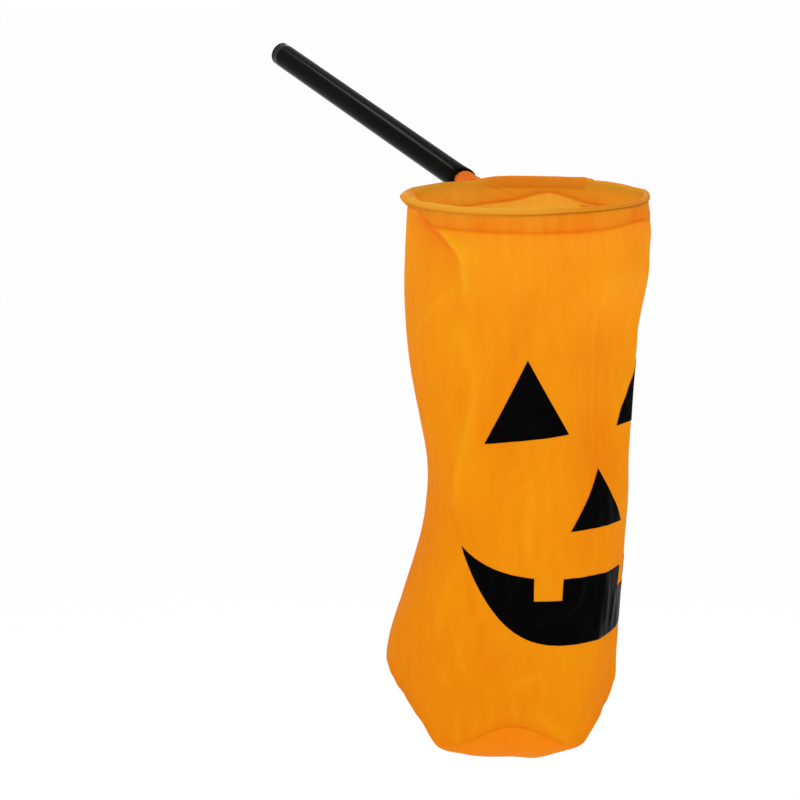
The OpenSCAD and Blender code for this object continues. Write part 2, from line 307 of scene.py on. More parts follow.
@dataclass(frozen=True)
class Fold:
    """One fold of the cloth, along a line on the bag.

    Attributes:
        path: points of the line, as direction from the front panel's middle and level below the hoop.
        height: how far the cloth stands out, or sinks in if it is below 0.
        width: half the width of the fold.
        form: how the cloth stands out across it.
        reach: how far a tuck's sunk side goes on.
        lead: share of the line over which the fold grows at its start.
        trail: share of the line over which it fades at its end.
        shade: how strongly the fold's height shows in the cloth's tone, as painted highlight where the cloth
            stands out and painted shade where it sinks in.
    """

    path: tuple[tuple[float, float], ...]
    height: float
    width: float
    form: FoldForm = FoldForm.RIDGE
    reach: float = 20.0
    lead: float = 0.35
    trail: float = 0.35
    shade: float = 1.0

    def relief(self, phi: Array, h: Array, mm_per_degree: float) -> Array:
        """How far the fold moves the cloth: its profile at the distance from its line, times its taper.

        Args:
            phi: directions from the front panel's middle.
            h: levels below the hoop.
            mm_per_degree: length of a degree round the bag.

        Returns:
            Distances outwards.
        """
        middle = self.path[len(self.path) // 2][0]
        knots = np.array([[(p - middle) * mm_per_degree, level] for p, level in self.path])
        line = spline(knots, per_knot=8)
        spot = np.stack([half_turn(phi - middle) * mm_per_degree, h], axis=-1)[..., None, :]
        start, step = line[:-1], np.diff(line, axis=0)
        size = (step**2).sum(-1)
        t = np.clip(((spot - start) * step).sum(-1) / size, 0, 1)
        off = spot - start - t[..., None] * step
        near = np.argmin((off**2).sum(-1), axis=-1)[..., None]
        share = (np.take_along_axis(t, near, -1)[..., 0] + near[..., 0]) / len(step)
        side = np.take_along_axis(step[:, 0] * off[..., 1] - step[:, 1] * off[..., 0], near, -1)[..., 0]
        gap = np.sqrt(np.take_along_axis((off**2).sum(-1), near, -1)[..., 0])
        taper = smooth(share / self.lead) * smooth((1 - share) / self.trail)
        return self.height * taper * self.profile(np.sign(side) * gap)

    def profile(self, n: Array, rounding: float = 0.3) -> Array:
        """The fold's cross-section, of height 1.

        A ridge is exp(-(n / width)^2), a crease is exp(rounding - sqrt((n / width)^2 + rounding^2)), and a
        tuck is a smooth step down that fades out over its reach.

        Args:
            n: signed distances from the fold's line.
            rounding: how round a crease's crest is, as a share of its width.

        Returns:
            Heights.
        """
        if self.form is FoldForm.RIDGE:
            return bump(n, 0, self.width)
        if self.form is FoldForm.CREASE:
            return np.exp(rounding - np.sqrt((n / self.width) ** 2 + rounding**2))
        sunk = smooth((n + self.width) / (2 * self.width))
        return -sunk * bump(np.maximum(n, 0), 0, self.reach)


@dataclass(frozen=True)
class Ripples:
    """Soft irregular waves of the cloth: a sum of waves of seeded directions and phases.

    Attributes:
        seed: start of the random draws.
        count: number of waves.
        around: least and most waves round the bag.
        down: steepest slope of a wave's phase down the bag, in radians a millimetre.
        height: height of all the waves together, as a root mean square.
    """

    seed: int
    count: int
    around: tuple[int, int]
    down: float
    height: float

    def relief(self, phi: Array, h: Array) -> Array:
        """Height of the waves: the sum of sin(k phi + m h + phase).

        Args:
            phi: directions in degrees.
            h: levels below the hoop.

        Returns:
            Distances outwards.
        """
        draw = np.random.default_rng(self.seed)
        k = draw.integers(self.around[0], self.around[1] + 1, self.count)
        m = draw.uniform(-self.down, self.down, self.count)
        phase = draw.uniform(0, 2 * np.pi, self.count)
        angle = np.radians(phi)[..., None] * k + h[..., None] * m + phase
        return self.height * math.sqrt(2 / self.count) * np.sin(angle).sum(-1)


# The base seam's line, as direction from the front panel's middle and level: it hangs low at the panel's
# two corners.
BASE_SEAM = (
    (-180, 305), (-120, 302), (-92, 300), (-79, 301), (-70, 308), (-60, 316), (-50, 324.5), (-45, 331.5),
    (-41, 337), (-35, 338), (-25, 333), (-14, 325), (-4, 321), (6, 323), (16, 329), (26, 334.5), (33, 335.5),
    (38, 333), (46, 327), (60, 320), (66, 315.5), (72, 308.5), (84, 306), (120, 306), (180, 305),
)

# The fold that starts on the hem, those of the front from the hem down, the large ones that shape the
# sides, and those of the far side.
FOLDS = (
    Fold(
        ((-78, 4), (-60, 7), (-47, 14.5), (-38.5, 20), (-32.8, 27), (-30.2, 36), (-29.4, 48), (-29.2, 62)),
        3.4, 2.6, FoldForm.TUCK, 16, 0.1, 0.45, 0.42,
    ),
    Fold(
        ((-66, 6), (-51, 14), (-41.5, 20), (-35.3, 27), (-32.3, 36)),
        -0.4, 2.2, lead=0.15, trail=0.5, shade=6.0,
    ),
    Fold(((-44, 14), (-36, 18), (-29, 23), (-23, 27)), 0.4, 4.0, lead=0.2, trail=0.5, shade=3.6),
    Fold(((-42, 15), (-33.5, 21), (-28.5, 29), (-26.8, 42), (-27.5, 60)), 1.4, 2.4, lead=0.2, shade=1.7),
    Fold(((-35, 62), (-31, 57.5), (-27, 57.5), (-23, 62)), -0.4, 1.3, shade=2.2),
    Fold(((-27, 50), (-25.5, 57), (-23, 64)), 0.4, 1.3, shade=1.4),
    Fold(((-20, 128), (-20, 150), (-20, 172), (-20, 196)), 0.3, 9.0, lead=0.4, shade=3.4),
    Fold(((-33, 44), (-36, 49), (-45, 62), (-58, 80), (-66, 92)), 0.8, 2.4),
    Fold(
        (
            (-29.5, 61), (-27.5, 72), (-24, 88), (-20.5, 106), (-22.5, 124), (-26.5, 145), (-29.5, 160),
            (-30, 186),
        ),
        1.6, 4.6, lead=0.15, trail=0.12, shade=0.75,
    ),
    Fold(
        ((-22.5, 92), (-21.5, 107), (-23.5, 125), (-27.5, 146), (-30.5, 161), (-30.5, 184)),
        0.45, 1.3, lead=0.4, trail=0.12, shade=3.2,
    ),
    Fold(((-25.5, 138), (-30, 152), (-33, 166), (-32.5, 182)), -0.4, 1.6, shade=2.4),
    Fold(((-40, 170), (-36, 178), (-32, 187), (-29, 196), (-27, 205)), -0.7, 2.0, lead=0.5, trail=0.15),
    Fold(((4, 30), (-0.5, 58), (-5, 83), (-12, 104)), -0.9, 6.0),
    Fold(((42, 17), (39, 48), (37, 72), (37, 103), (36.5, 133), (37, 160)), 0.8, 2.0, lead=0.2),
    Fold(((14, 146), (5.5, 158), (-5, 173), (-7, 189), (-7, 206)), 1.0, 3.4, lead=0.4, trail=0.1, shade=0.7),
    Fold(((9, 141), (-2, 154), (-8, 164), (-12, 174)), 0.8, 3.6, shade=0.6),
    Fold(((8, 160), (3.5, 173), (2.5, 189), (3.5, 207)), 0.8, 2.5, trail=0.1),
    Fold(((-25, 204), (-27, 212), (-32, 224), (-37, 242), (-40.5, 262), (-43, 280)), 1.2, 4.2, shade=0.6),
    Fold(((-25.5, 222), (-23, 239), (-21, 252)), -0.8, 2.4),
    Fold(((-26.5, 246), (-29, 266), (-27.5, 282), (-21.5, 295)), 1.2, 3.8, shade=0.8),
    Fold(((-19, 246), (-18.5, 264), (-20.5, 281)), -0.8, 2.6),
    Fold(((-42, 276), (-40, 284), (-36, 294), (-31, 299)), 0.9, 3.0),
    Fold(((-2, 267), (-6, 274), (-10, 282), (-11, 293)), 1.1, 1.6, FoldForm.TUCK, 8, shade=0.8),
    Fold(((-3.5, 266), (-8, 273.5), (-12, 282), (-12.5, 292)), 0.5, 1.4, shade=1.5),
    Fold(((-9, 296), (0, 291), (9, 285), (13, 279)), 1.0, 3.6),
    Fold(((9, 285), (12, 296), (11, 308)), 0.7, 2.8),
    Fold(((-29, 300), (-29.5, 309), (-30, 319), (-30, 333)), 0.9, 2.6, trail=0.05),
    Fold(((-4, 296), (-2, 303), (-1.5, 312), (-1, 322)), 0.6, 2.6, trail=0.05, shade=0.7),
    Fold(((6, 304), (11, 312.5), (18.5, 321), (27.5, 331)), 1.2, 4.0, trail=0.1),
    Fold(((30, 218), (28, 227), (24, 242), (11.5, 253.5), (4, 258)), 1.2, 3.0),
    Fold(((45, 225), (44.5, 247), (45, 266)), 0.8, 2.2),
    Fold(((52, 236), (52, 250), (51.5, 268)), 0.8, 2.2),
    Fold(((44, 36), (44, 80), (44, 125), (44, 185)), -11.0, 23.0, shade=0.06),
    Fold(((90, 18), (90, 38), (88, 58), (87, 84)), -4.6, 16.0, trail=0.55, shade=0.1),
    Fold(((88, 46), (88, 95), (88, 140), (88, 190)), -10.0, 24.0, lead=0.5, shade=0.1),
    Fold(((67, 56), (66, 90), (66, 130), (66, 170)), 2.5, 5.5, shade=0.1),
    Fold(((84, 210), (84, 250), (84, 290), (82, 330)), -1.4, 16.0, trail=0.02, shade=0.1),
    Fold(((-86, 190), (-86, 222), (-86, 250), (-86, 286)), -3.4, 16.0, shade=0.1),
    Fold(((-64, 276), (-64, 296), (-63, 318), (-62, 340)), -2.8, 13.0, lead=0.5, trail=0.01, shade=0.1),
    Fold(((63, 276), (62, 296), (61, 318), (60, 340)), -3.2, 12.0, lead=0.5, trail=0.01, shade=0.1),
    Fold(((41, 176), (41, 220), (40, 264), (38, 312)), 2.0, 8.0, FoldForm.CREASE, shade=0.3),
    Fold(((134, 30), (128, 100), (132, 180)), 1.2, 8.0),
    Fold(((122, 26), (118, 96), (116, 160), (118, 240)), 1.5, 9.0),
    Fold(((168, 18), (176, 70), (170, 140), (178, 220)), 1.8, 9.0),
    Fold(((-160, 20), (-150, 60), (-154, 130)), 1.6, 7.0),
    Fold(((-128, 18), (-122, 60), (-112, 120), (-100, 170)), 1.8, 8.0),
    Fold(((-96, 150), (-118, 180), (-140, 196)), 1.2, 6.0),
    Fold(((150, 190), (128, 220), (120, 270)), 1.3, 7.0),
    Fold(((-170, 230), (-150, 262), (-128, 300)), 1.4, 7.0),
    Fold(((90, 240), (98, 276), (92, 308)), 1.2, 6.0),
)


def hoop_middle() -> Array:
    """Middle of the hoop in millimetres: that of its stitch row, at the wire's level."""
    row, wire = (np.mean(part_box(node), axis=0) / MM for node in ("hem_thread", "rim_wire"))
    return np.array([row[0], row[1], wire[2]])


def neck_pivot() -> Array:
    """The point about which the hoop tilts on the handle."""
    return np.array(next(j["pos_m"] for j in frame["joints"] if j["name"] == "hoop_tilt")) / MM


@dataclass(frozen=True)
class BagShape:
    """The bag's surface, the same formula as the solid parts, with the cloth's folds added.

    A place is a direction az round the hoop, 0 towards -Y and 90 towards +X, and a level h below it. phi
    is the direction from the front panel's middle. The radius is a superellipse of half widths that
    change with the level. The ears are the base's two lower corners, and the waist is above them.
    """

    rim_r: float = 75.0
    cloth_r: float = 75.4
    cloth_t: float = 0.35
    hem: float = 13.0
    hem_fade: float = 30.0
    panel_az: float = -39.6
    panel_crowd: float = 26.0
    seam_az: float = 108.0
    seam_allowance: float = 9.0
    seam_level: float = 311.0
    base_sag: float = 45.0
    base_seam: tuple[tuple[float, float], ...] = BASE_SEAM

    waist_up: float = 133.0
    waist_reach: float = 60.0
    waist_in: float = 15.5
    waist_depth: float = 5.5
    ear_reach: float = 92.0
    ear_out: float = 12.0
    ear_depth: float = 2.0
    ear_round: float = 0.4
    shoulder_out: float = 4.0
    shoulder_drop: float = 25.0
    shoulder_reach: float = 28.0
    right_in: float = 12.5
    square: float = 0.5
    square_by: float = 120.0

    stitch_row: float = 12.2
    stitch_humps: tuple[Hump, ...] = (Hump(-6.2, 168, 14), Hump(-2.0, 62, 18), Hump(1.5, -140, 20))
    stitch_left: Stretch = Stretch(-128, 24, -49, 15)
    stitch_left_up: float = 8.2
    dents: tuple[Hump, ...] = (Hump(3.4, -90, 13), Hump(-1.6, 84, 15))
    neck_dent: Hump = Hump(5.0, 8, 13)
    dent_reach: float = 26.0

    folds: tuple[Fold, ...] = FOLDS
    sway: Ripples = Ripples(7, 14, (3, 9), 0.03, 0.55)
    crinkle: Ripples = Ripples(21, 30, (18, 60), 0.22, 0.10)
    fan_above: float = 2.0
    fan_start: float = 7.0
    fan_reach: float = 30.0
    pucker_h: float = 0.42
    pucker_reach: float = 9.0
    groove: float = 0.7
    groove_w: float = 1.2
    groove_edge: float = 0.3
    groove_edge_at: float = 3.5
    groove_edge_w: float = 2.0
    fold_rise: Ramp = Ramp(0, 6)
    wave_rise: Ramp = Ramp(0, 12)
    pucker_rise: Ramp = Ramp(0, 2.5)
    fan_rise: Ramp = Ramp(0, 3)
    entry_rise: Ramp = Ramp(1, 4)

    # The tone is painted light and shade: painted highlight on crests and painted shade in valleys, painted shade
    # under the hem, painted light low on the front.
    tone_middle: float = 0.66
    tone_per_mm: float = 0.14
    hem_shade: float = 2.0
    hem_shade_reach: float = 12.0
    low_front_painted_light: Hump = Hump(0.16, 2, 30)
    low_front_painted_light_rise: Ramp = Ramp(70, 190)
    sway_tone: float = 0.5
    crinkle_tone: float = 1.5
    pucker_tone: float = 0.5

    hoop_at: Array = field(default_factory=hoop_middle)
    neck_at: Array = field(default_factory=neck_pivot)

    @property
    def neck_phi(self) -> float:
        """Direction of the neck from the front panel's middle."""
        away = self.neck_at - self.hoop_at
        return float(self.panel_angle(math.degrees(math.atan2(away[0], -away[1]))))

    @property
    def mm_per_degree(self) -> float:
        """Length of a degree round the bag."""
        return math.radians(self.cloth_r)

    @property
    def bottom_level(self) -> float:
        """Level of the base's lowest point."""
        return self.seam_level + self.base_sag

    def columns(self, count: int) -> Array:
        """Directions of a grid's columns, closer at the front: phi = 360 w - crowd sin(2 pi w)."""
        w = np.arange(count) / count - 0.5
        return self.panel_az + 360 * w - self.panel_crowd * np.sin(2 * np.pi * w)

    def panel_angle(self, az: Array) -> Array:
        """Direction from the front panel's middle."""
        return half_turn(az - self.panel_az)

    def seam_angle(self, phi: Array) -> Array:
        """Direction from the side seam."""
        return half_turn(phi + self.panel_az - self.seam_az)

    def waist(self, h: Array) -> Array:
        """1 at the drawn-in waist."""
        return bump(h, self.seam_level - self.waist_up, self.waist_reach)

    def flare(self, h: Array) -> Array:
        """1 at the base's ears."""
        return smooth((h - self.seam_level) / self.ear_reach + 1)

    def radius(self, phi: Array, h: Array) -> Array:
        """The smooth radius: (|sin phi / side|^n + |cos phi / depth|^n)^(-1/n).

        Args:
            phi: directions.
            h: levels.

        Returns:
            Distances from the hoop's upright axis.
        """
        s, c = np.sin(np.radians(phi)), np.cos(np.radians(phi))
        waist, flare = self.waist(h), self.flare(h)
        free = smooth((h - self.hem) / self.hem_fade)
        left = self.ear_out * flare - self.waist_in * waist
        shoulder = self.shoulder_out * bump(h, self.hem + self.shoulder_drop, self.shoulder_reach)
        right = shoulder - self.right_in * smooth(h / self.seam_level)
        side = self.cloth_r + free * np.where(s < 0, left, right)
        depth = self.cloth_r + free * (self.waist_depth * waist - self.ear_depth * flare)
        n = 2 + free * (self.square * smooth(h / self.square_by) - self.ear_round * flare)
        return (np.abs(s / side) ** n + np.abs(c / depth) ** n) ** (-1 / n)

    def stitch_level(self, phi: Array) -> Array:
        """Level of the hem's stitches, which ride up at the far side, at the right and under the left end."""
        rides = sum(hump.at(phi) for hump in self.stitch_humps)
        return self.stitch_row + rides - self.stitch_left_up * self.stitch_left.at(phi)

    def dent(self, phi: Array) -> Array:
        """How far the cloth is pushed in at the stitches, beside the neck and at the left end."""
        return self.neck_dent.at(phi - self.neck_phi) + sum(hump.at(phi) for hump in self.dents)

    def fan(self, phi: Array, h: Array) -> Array:
        """Fine creases that run out from the neck: waves of the direction seen from it, which fade away.

        Args:
            phi: directions.
            h: levels.

        Returns:
            Distances outwards.
        """
        side = half_turn(phi - self.neck_phi) * self.mm_per_degree
        drop = h + self.fan_above
        away = np.hypot(side, drop)
        turn = np.arctan2(drop, side)
        waves = 0.24 * np.sin(26 * turn + np.sin(7 * turn)) + 0.18 * np.sin(41 * turn + 1.0)
        return waves * smooth(away / self.fan_start) * bump(away, 0, self.fan_reach)

    def puckers(self, phi: Array) -> Array:
        """Uneven gathers along the hem's stitches: two waves of wandering phase and uneven height.

        Args:
            phi: directions.

        Returns:
            Heights from about -1 to 1.
        """
        turn = np.radians(phi)
        fine = np.sin(58 * turn + 1.4 * np.sin(9 * turn)) * (0.4 + 0.4 * np.sin(5 * turn + 0.7))
        return fine + 0.5 * np.sin(31 * turn + 2.0 * np.sin(4 * turn)) * (0.5 + 0.5 * np.sin(7 * turn))

    def relief(self, phi: Array, h: Array) -> Array:
        """How far the folds, waves, puckers and side seam move the cloth outwards.

        Each of them grows smoothly from the hem's stitches over a few millimetres.

        Args:
            phi: directions.
            h: levels.

        Returns:
            Distances outwards.
        """
        below = h - self.stitch_level(phi)
        folds = sum(fold.relief(phi, h, self.mm_per_degree) for fold in self.folds[1:])
        waves = self.sway.relief(phi, h) + self.crinkle.relief(phi, h)
        pucker = self.pucker_h * self.puckers(phi) * np.exp(-below / self.pucker_reach)
        seam = np.abs(self.seam_angle(phi)) * self.mm_per_degree
        edge = self.groove_edge * bump(seam, self.groove_edge_at, self.groove_edge_w)
        groove = edge - self.groove * np.exp(-seam / self.groove_w)
        return (
            self.entry(phi, h)
            + self.fold_rise.at(below) * folds
            + self.wave_rise.at(below) * (waves + groove)
            + self.pucker_rise.at(below) * pucker
            + self.fan_rise.at(below) * self.fan(phi, h)
        )

    def entry(self, phi: Array, h: Array) -> Array:
        """How far the first fold, which starts on the hem, moves all layers of the cloth outwards."""
        return self.entry_rise.at(h) * self.folds[0].relief(phi, h, self.mm_per_degree)

    def tone(self, phi: Array, h: Array) -> Array:
        """How light the cloth is: a middle tone, more on the folds' crests and less in their valleys.

        The tone is painted light and shade: painted highlight on the crests of the folds, waves and puckers,
        painted shade in their valleys, painted shade right under the hem and painted light low on the front.

        Args:
            phi: directions.
            h: levels.

        Returns:
            Numbers from 0 to 1.
        """
        below = np.maximum(h - self.stitch_level(phi), 0)
        under_hem = np.exp(-below / self.hem_shade_reach)
        # Painted highlight and shade that follow the folds' heights.
        folds = sum(fold.shade * fold.relief(phi, h, self.mm_per_degree) for fold in self.folds)
        waves = self.sway_tone * self.sway.relief(phi, h) + self.crinkle_tone * self.crinkle.relief(phi, h)
        # Painted shade and highlight on the puckers, and painted shade right under the hem.
        rays = (self.pucker_tone * self.puckers(phi) - self.hem_shade) * under_hem
        # Painted light low on the front.
        low = self.low_front_painted_light.at(phi) * self.low_front_painted_light_rise.at(h)
        return np.clip(self.tone_middle + low + self.tone_per_mm * (folds + waves + rays), 0, 1)

    def seam_drop(self, az: Array) -> Array:
        """Level of the base seam: a smooth line through its drawn points."""
        line = spline(np.array(self.base_seam, dtype=float), per_knot=12)
        return np.interp(self.panel_angle(az), line[:, 0], line[:, 1])

    def reach(self, az: Array, h: Array) -> Array:
        """The cloth's radius with all its folds and dents.

        Args:
            az: directions.
            h: levels.

        Returns:
            Distances from the hoop's upright axis.
        """
        phi = self.panel_angle(az)
        below = np.maximum(h - self.stitch_level(phi), 0)
        dent = self.dent(phi) * bump(below, 0, self.dent_reach)
        return self.radius(phi, h) + self.relief(phi, h) - dent

    def outward(self, az: Array) -> Array:
        """The level unit vector in the direction az: (sin az, -cos az, 0)."""
        turn = np.radians(az)
        return np.stack([np.sin(turn), -np.cos(turn), 0 * turn], axis=-1)

    def place(self, az: Array, r: Array, h: Array) -> Array:
        """Points in the frame at direction az, radius r and level h."""
        s, c = np.sin(np.radians(az)), np.cos(np.radians(az))
        return self.hoop_at + np.stack(np.broadcast_arrays(r * s, -r * c, -h), axis=-1)

    def point(self, az: Array, h: Array, out: float = 0.0) -> Array:
        """Points on the cloth, or standing out from it."""
        return self.place(az, self.reach(az, h) + out, h)


def math_node(tree: Tree, operation: str, *values: Socket | float) -> Socket:
    """A Math node.

    Args:
        tree: the node tree.
        operation: the node's operation.
        values: its inputs, each a socket or a number.

    Returns:
        The node's output.
    """
    node = tree.nodes.new("ShaderNodeMath")
    node.operation = operation
    for value, socket in zip(values, node.inputs):
        if isinstance(value, Socket):
            tree.links.new(value, socket)
        else:
            socket.default_value = value
    return node.outputs[0]


def mix_shaders(tree: Tree, share: Socket, first: Socket, second: Socket) -> Socket:
    """One shader from two: the first where the share is 0, the second where it is 1.

    Args:
        tree: the node tree.
        share: the second shader's share.
        first: the first shader.
        second: the second shader.

    Returns:
        The mixed shader.
    """
    node = tree.nodes.new("ShaderNodeMixShader")
    for value, socket in zip((share, first, second), node.inputs):
        tree.links.new(value, socket)
    return node.outputs[0]


class NodeGroups:
    """Shader node groups that several finishes share, each built when it is first used."""

    def start(self, name: str, inputs: dict[str, str], output: str) -> Tree:
        """A new group with named sockets.

        Args:
            name: the group's name.
            inputs: by input name, Vector or Float.
            output: the name of its one output, a number.

        Returns:
            The group, with its input and output nodes.
        """
        tree = bpy.data.node_groups.new(name, "ShaderNodeTree")
        for label, kind in inputs.items():
            tree.interface.new_socket(label, in_out="INPUT", socket_type="NodeSocket" + kind)
        tree.interface.new_socket(output, in_out="OUTPUT", socket_type="NodeSocketFloat")
        tree.nodes.new("NodeGroupInput").name = "in"
        tree.nodes.new("NodeGroupOutput").name = "out"
        return tree

    @cached_property
    def weave(self) -> Tree:
        """Plain weave: 0.5 + 0.5 cos(2 pi u / pitch) cos(2 pi v / pitch) of the cloth's own coordinates.

        Returns:
            The group.
        """
        tree = self.start("plain_weave", {"Vector": "Vector", "Pitch": "Float"}, "Height")
        ends = tree.nodes["in"].outputs
        split = tree.nodes.new("ShaderNodeSeparateXYZ")
        tree.links.new(ends["Vector"], split.inputs[0])
        waves = [self.wave(tree, split.outputs[i], ends["Pitch"]) for i in range(2)]
        half = math_node(tree, "MULTIPLY_ADD", math_node(tree, "MULTIPLY", *waves), 0.5, 0.5)
        tree.links.new(half, tree.nodes["out"].inputs["Height"])
        return tree

    def wave(self, tree: Tree, along: Socket, pitch: Socket) -> Socket:
        """cos(2 pi along / pitch), as nodes of a group."""
        turns = math_node(tree, "DIVIDE", along, pitch)
        return math_node(tree, "COSINE", math_node(tree, "MULTIPLY", turns, 2 * math.pi))

    @cached_property
    def mottle(self) -> Tree:
        """Soft cloudy variation: noise whose middle range is spread to 0 to 1.

        Returns:
            The group.
        """
        inputs = {"Vector": "Vector", "Scale": "Float", "Detail": "Float"}
        tree = self.start("soft_mottle", inputs, "Mask")
        noise = tree.nodes.new("ShaderNodeTexNoise")
        noise.inputs["Roughness"].default_value = 0.55
        for label in inputs:
            tree.links.new(tree.nodes["in"].outputs[label], noise.inputs[label])
        spread = tree.nodes.new("ShaderNodeMapRange")
        spread.inputs["From Min"].default_value = 0.3
        spread.inputs["From Max"].default_value = 0.7
        tree.links.new(noise.outputs["Fac"], spread.inputs["Value"])
        tree.links.new(spread.outputs["Result"], tree.nodes["out"].inputs["Mask"])
        return tree

    @cached_property
    def scuffs(self) -> Tree:
        """Fine rubbed lines along one direction: noise of stretched coordinates.

        Returns:
            The group.
        """
        tree = self.start("fine_scuffs", {"Vector": "Vector", "Stretch": "Vector"}, "Mask")
        ends = tree.nodes["in"].outputs
        scale = tree.nodes.new("ShaderNodeVectorMath")
        scale.operation = "MULTIPLY"
        noise = tree.nodes.new("ShaderNodeTexNoise")
        noise.inputs["Scale"].default_value = 1.0
        noise.inputs["Detail"].default_value = 5.0
        tree.links.new(ends["Vector"], scale.inputs[0])
        tree.links.new(ends["Stretch"], scale.inputs[1])
        tree.links.new(scale.outputs[0], noise.inputs["Vector"])
        tree.links.new(noise.outputs["Fac"], tree.nodes["out"].inputs["Mask"])
        return tree


GROUPS = NodeGroups()


class MaterialTree:
    """A new material with one Principled shader, and short ways to add its nodes."""

    def __init__(self, name: str) -> None:
        """Makes the material.

        Args:
            name: the material's name.
        """
        self.material = bpy.data.materials.new(name)
        self.material.use_nodes = True
        self.tree = self.material.node_tree
        self.shader = self.tree.nodes["Principled BSDF"]
        self.output = self.tree.nodes["Material Output"]

    def add(self, kind: str) -> bpy.types.Node:
        """A new node."""
        return self.tree.nodes.new(kind)

    def link(self, out: Socket, into: Socket) -> None:
        """Joins two sockets."""
        self.tree.links.new(out, into)

    def feed(self, **sources: Socket) -> None:
        """Links the shader's inputs, with an underscore for each space in their names."""
        for label, source in sources.items():
            self.link(source, self.shader.inputs[label.replace("_", " ")])

    def fix(self, **values: float | tuple[float, ...]) -> None:
        """Sets the shader's inputs, with an underscore for each space in their names."""
        for label, value in values.items():
            self.shader.inputs[label.replace("_", " ")].default_value = value

    def group(self, tree: Tree, vector: Socket, **values: float | tuple[float, ...]) -> Socket:
        """Places a shared group.

        Args:
            tree: the group.
            vector: the coordinates that it reads.
            values: its other inputs, by name.

        Returns:
            The group's output.
        """
        node = self.add("ShaderNodeGroup")
        node.node_tree = tree
        self.link(vector, node.inputs["Vector"])
        for label, value in values.items():
            node.inputs[label].default_value = value
        return node.outputs[0]

    def cloth_place(self) -> Socket:
        """The piece's own cloth coordinates, in metres.

        Returns:
            The coordinates.
        """
        node = self.add("ShaderNodeUVMap")
        node.uv_map = "cloth"
        return node.outputs["UV"]

    def object_place(self) -> Socket:
        """Object coordinates, in metres."""
        return self.add("ShaderNodeTexCoord").outputs["Object"]

    def attribute(self, name: str) -> Socket:
        """A number that the piece's points hold.

        Args:
            name: the attribute's name.

        Returns:
            The number.
        """
        node = self.add("ShaderNodeAttribute")
        node.attribute_name = name
        return node.outputs["Fac"]

    def blend(self, mask: Socket, low: Colour, high: Colour) -> Socket:
        """A colour from low to high as the mask goes from 0 to 1.

        Args:
            mask: the mask.
            low: the colour at 0.
            high: the colour at 1.

        Returns:
            The colour.
        """
        node = self.add("ShaderNodeMix")
        node.data_type = "RGBA"
        self.link(mask, node.inputs["Factor"])
        node.inputs["A"].default_value = (*low, 1.0)
        node.inputs["B"].default_value = (*high, 1.0)
        return node.outputs["Result"]

    def tint(self, mask: Socket, below: Socket, colour: Colour) -> Socket:
        """A colour put over another where the mask is 1.

        Args:
            mask: the mask.
            below: the colour that is covered.
            colour: the colour on top.

        Returns:
            The colour.
        """
        result = self.blend(mask, colour, colour)
        self.link(below, result.node.inputs["A"])
        return result

    def span(self, mask: Socket, low: float, high: float) -> Socket:
        """A number from low to high as the mask goes from 0 to 1.

        Args:
            mask: the mask.
            low: the number at 0.
            high: the number at 1.

        Returns:
            The number.
        """
        node = self.add("ShaderNodeMapRange")
        self.link(mask, node.inputs["Value"])
        node.inputs["To Min"].default_value = low
        node.inputs["To Max"].default_value = high
        return node.outputs["Result"]

    def bumps(self, *layers: tuple[Socket, float, float]) -> None:
        """Chains bump layers into the shader's normal.

        Args:
            layers: for each layer its height, its strength and its depth in metres.
        """
        normal = None
        for height, strength, depth in layers:
            node = self.add("ShaderNodeBump")
            node.inputs["Strength"].default_value = strength
            node.inputs["Distance"].default_value = depth
            self.link(height, node.inputs["Height"])
            if normal is not None:
                self.link(normal, node.inputs["Normal"])
            normal = node.outputs["Normal"]
        self.feed(Normal=normal)


@dataclass(frozen=True)
class Finish:
    """A finish of some pieces, which each kind of finish paints in its own way.

    Attributes:
        name: its material's name.
    """

    name: str

    def paint(self, made: MaterialTree) -> None:
        """Adds the finish's nodes to its new material."""
        raise NotImplementedError

    def material(self) -> bpy.types.Material:
        """Makes the material.

        Returns:
            The material.
        """
        made = MaterialTree(self.name)
        self.paint(made)
        return made.material


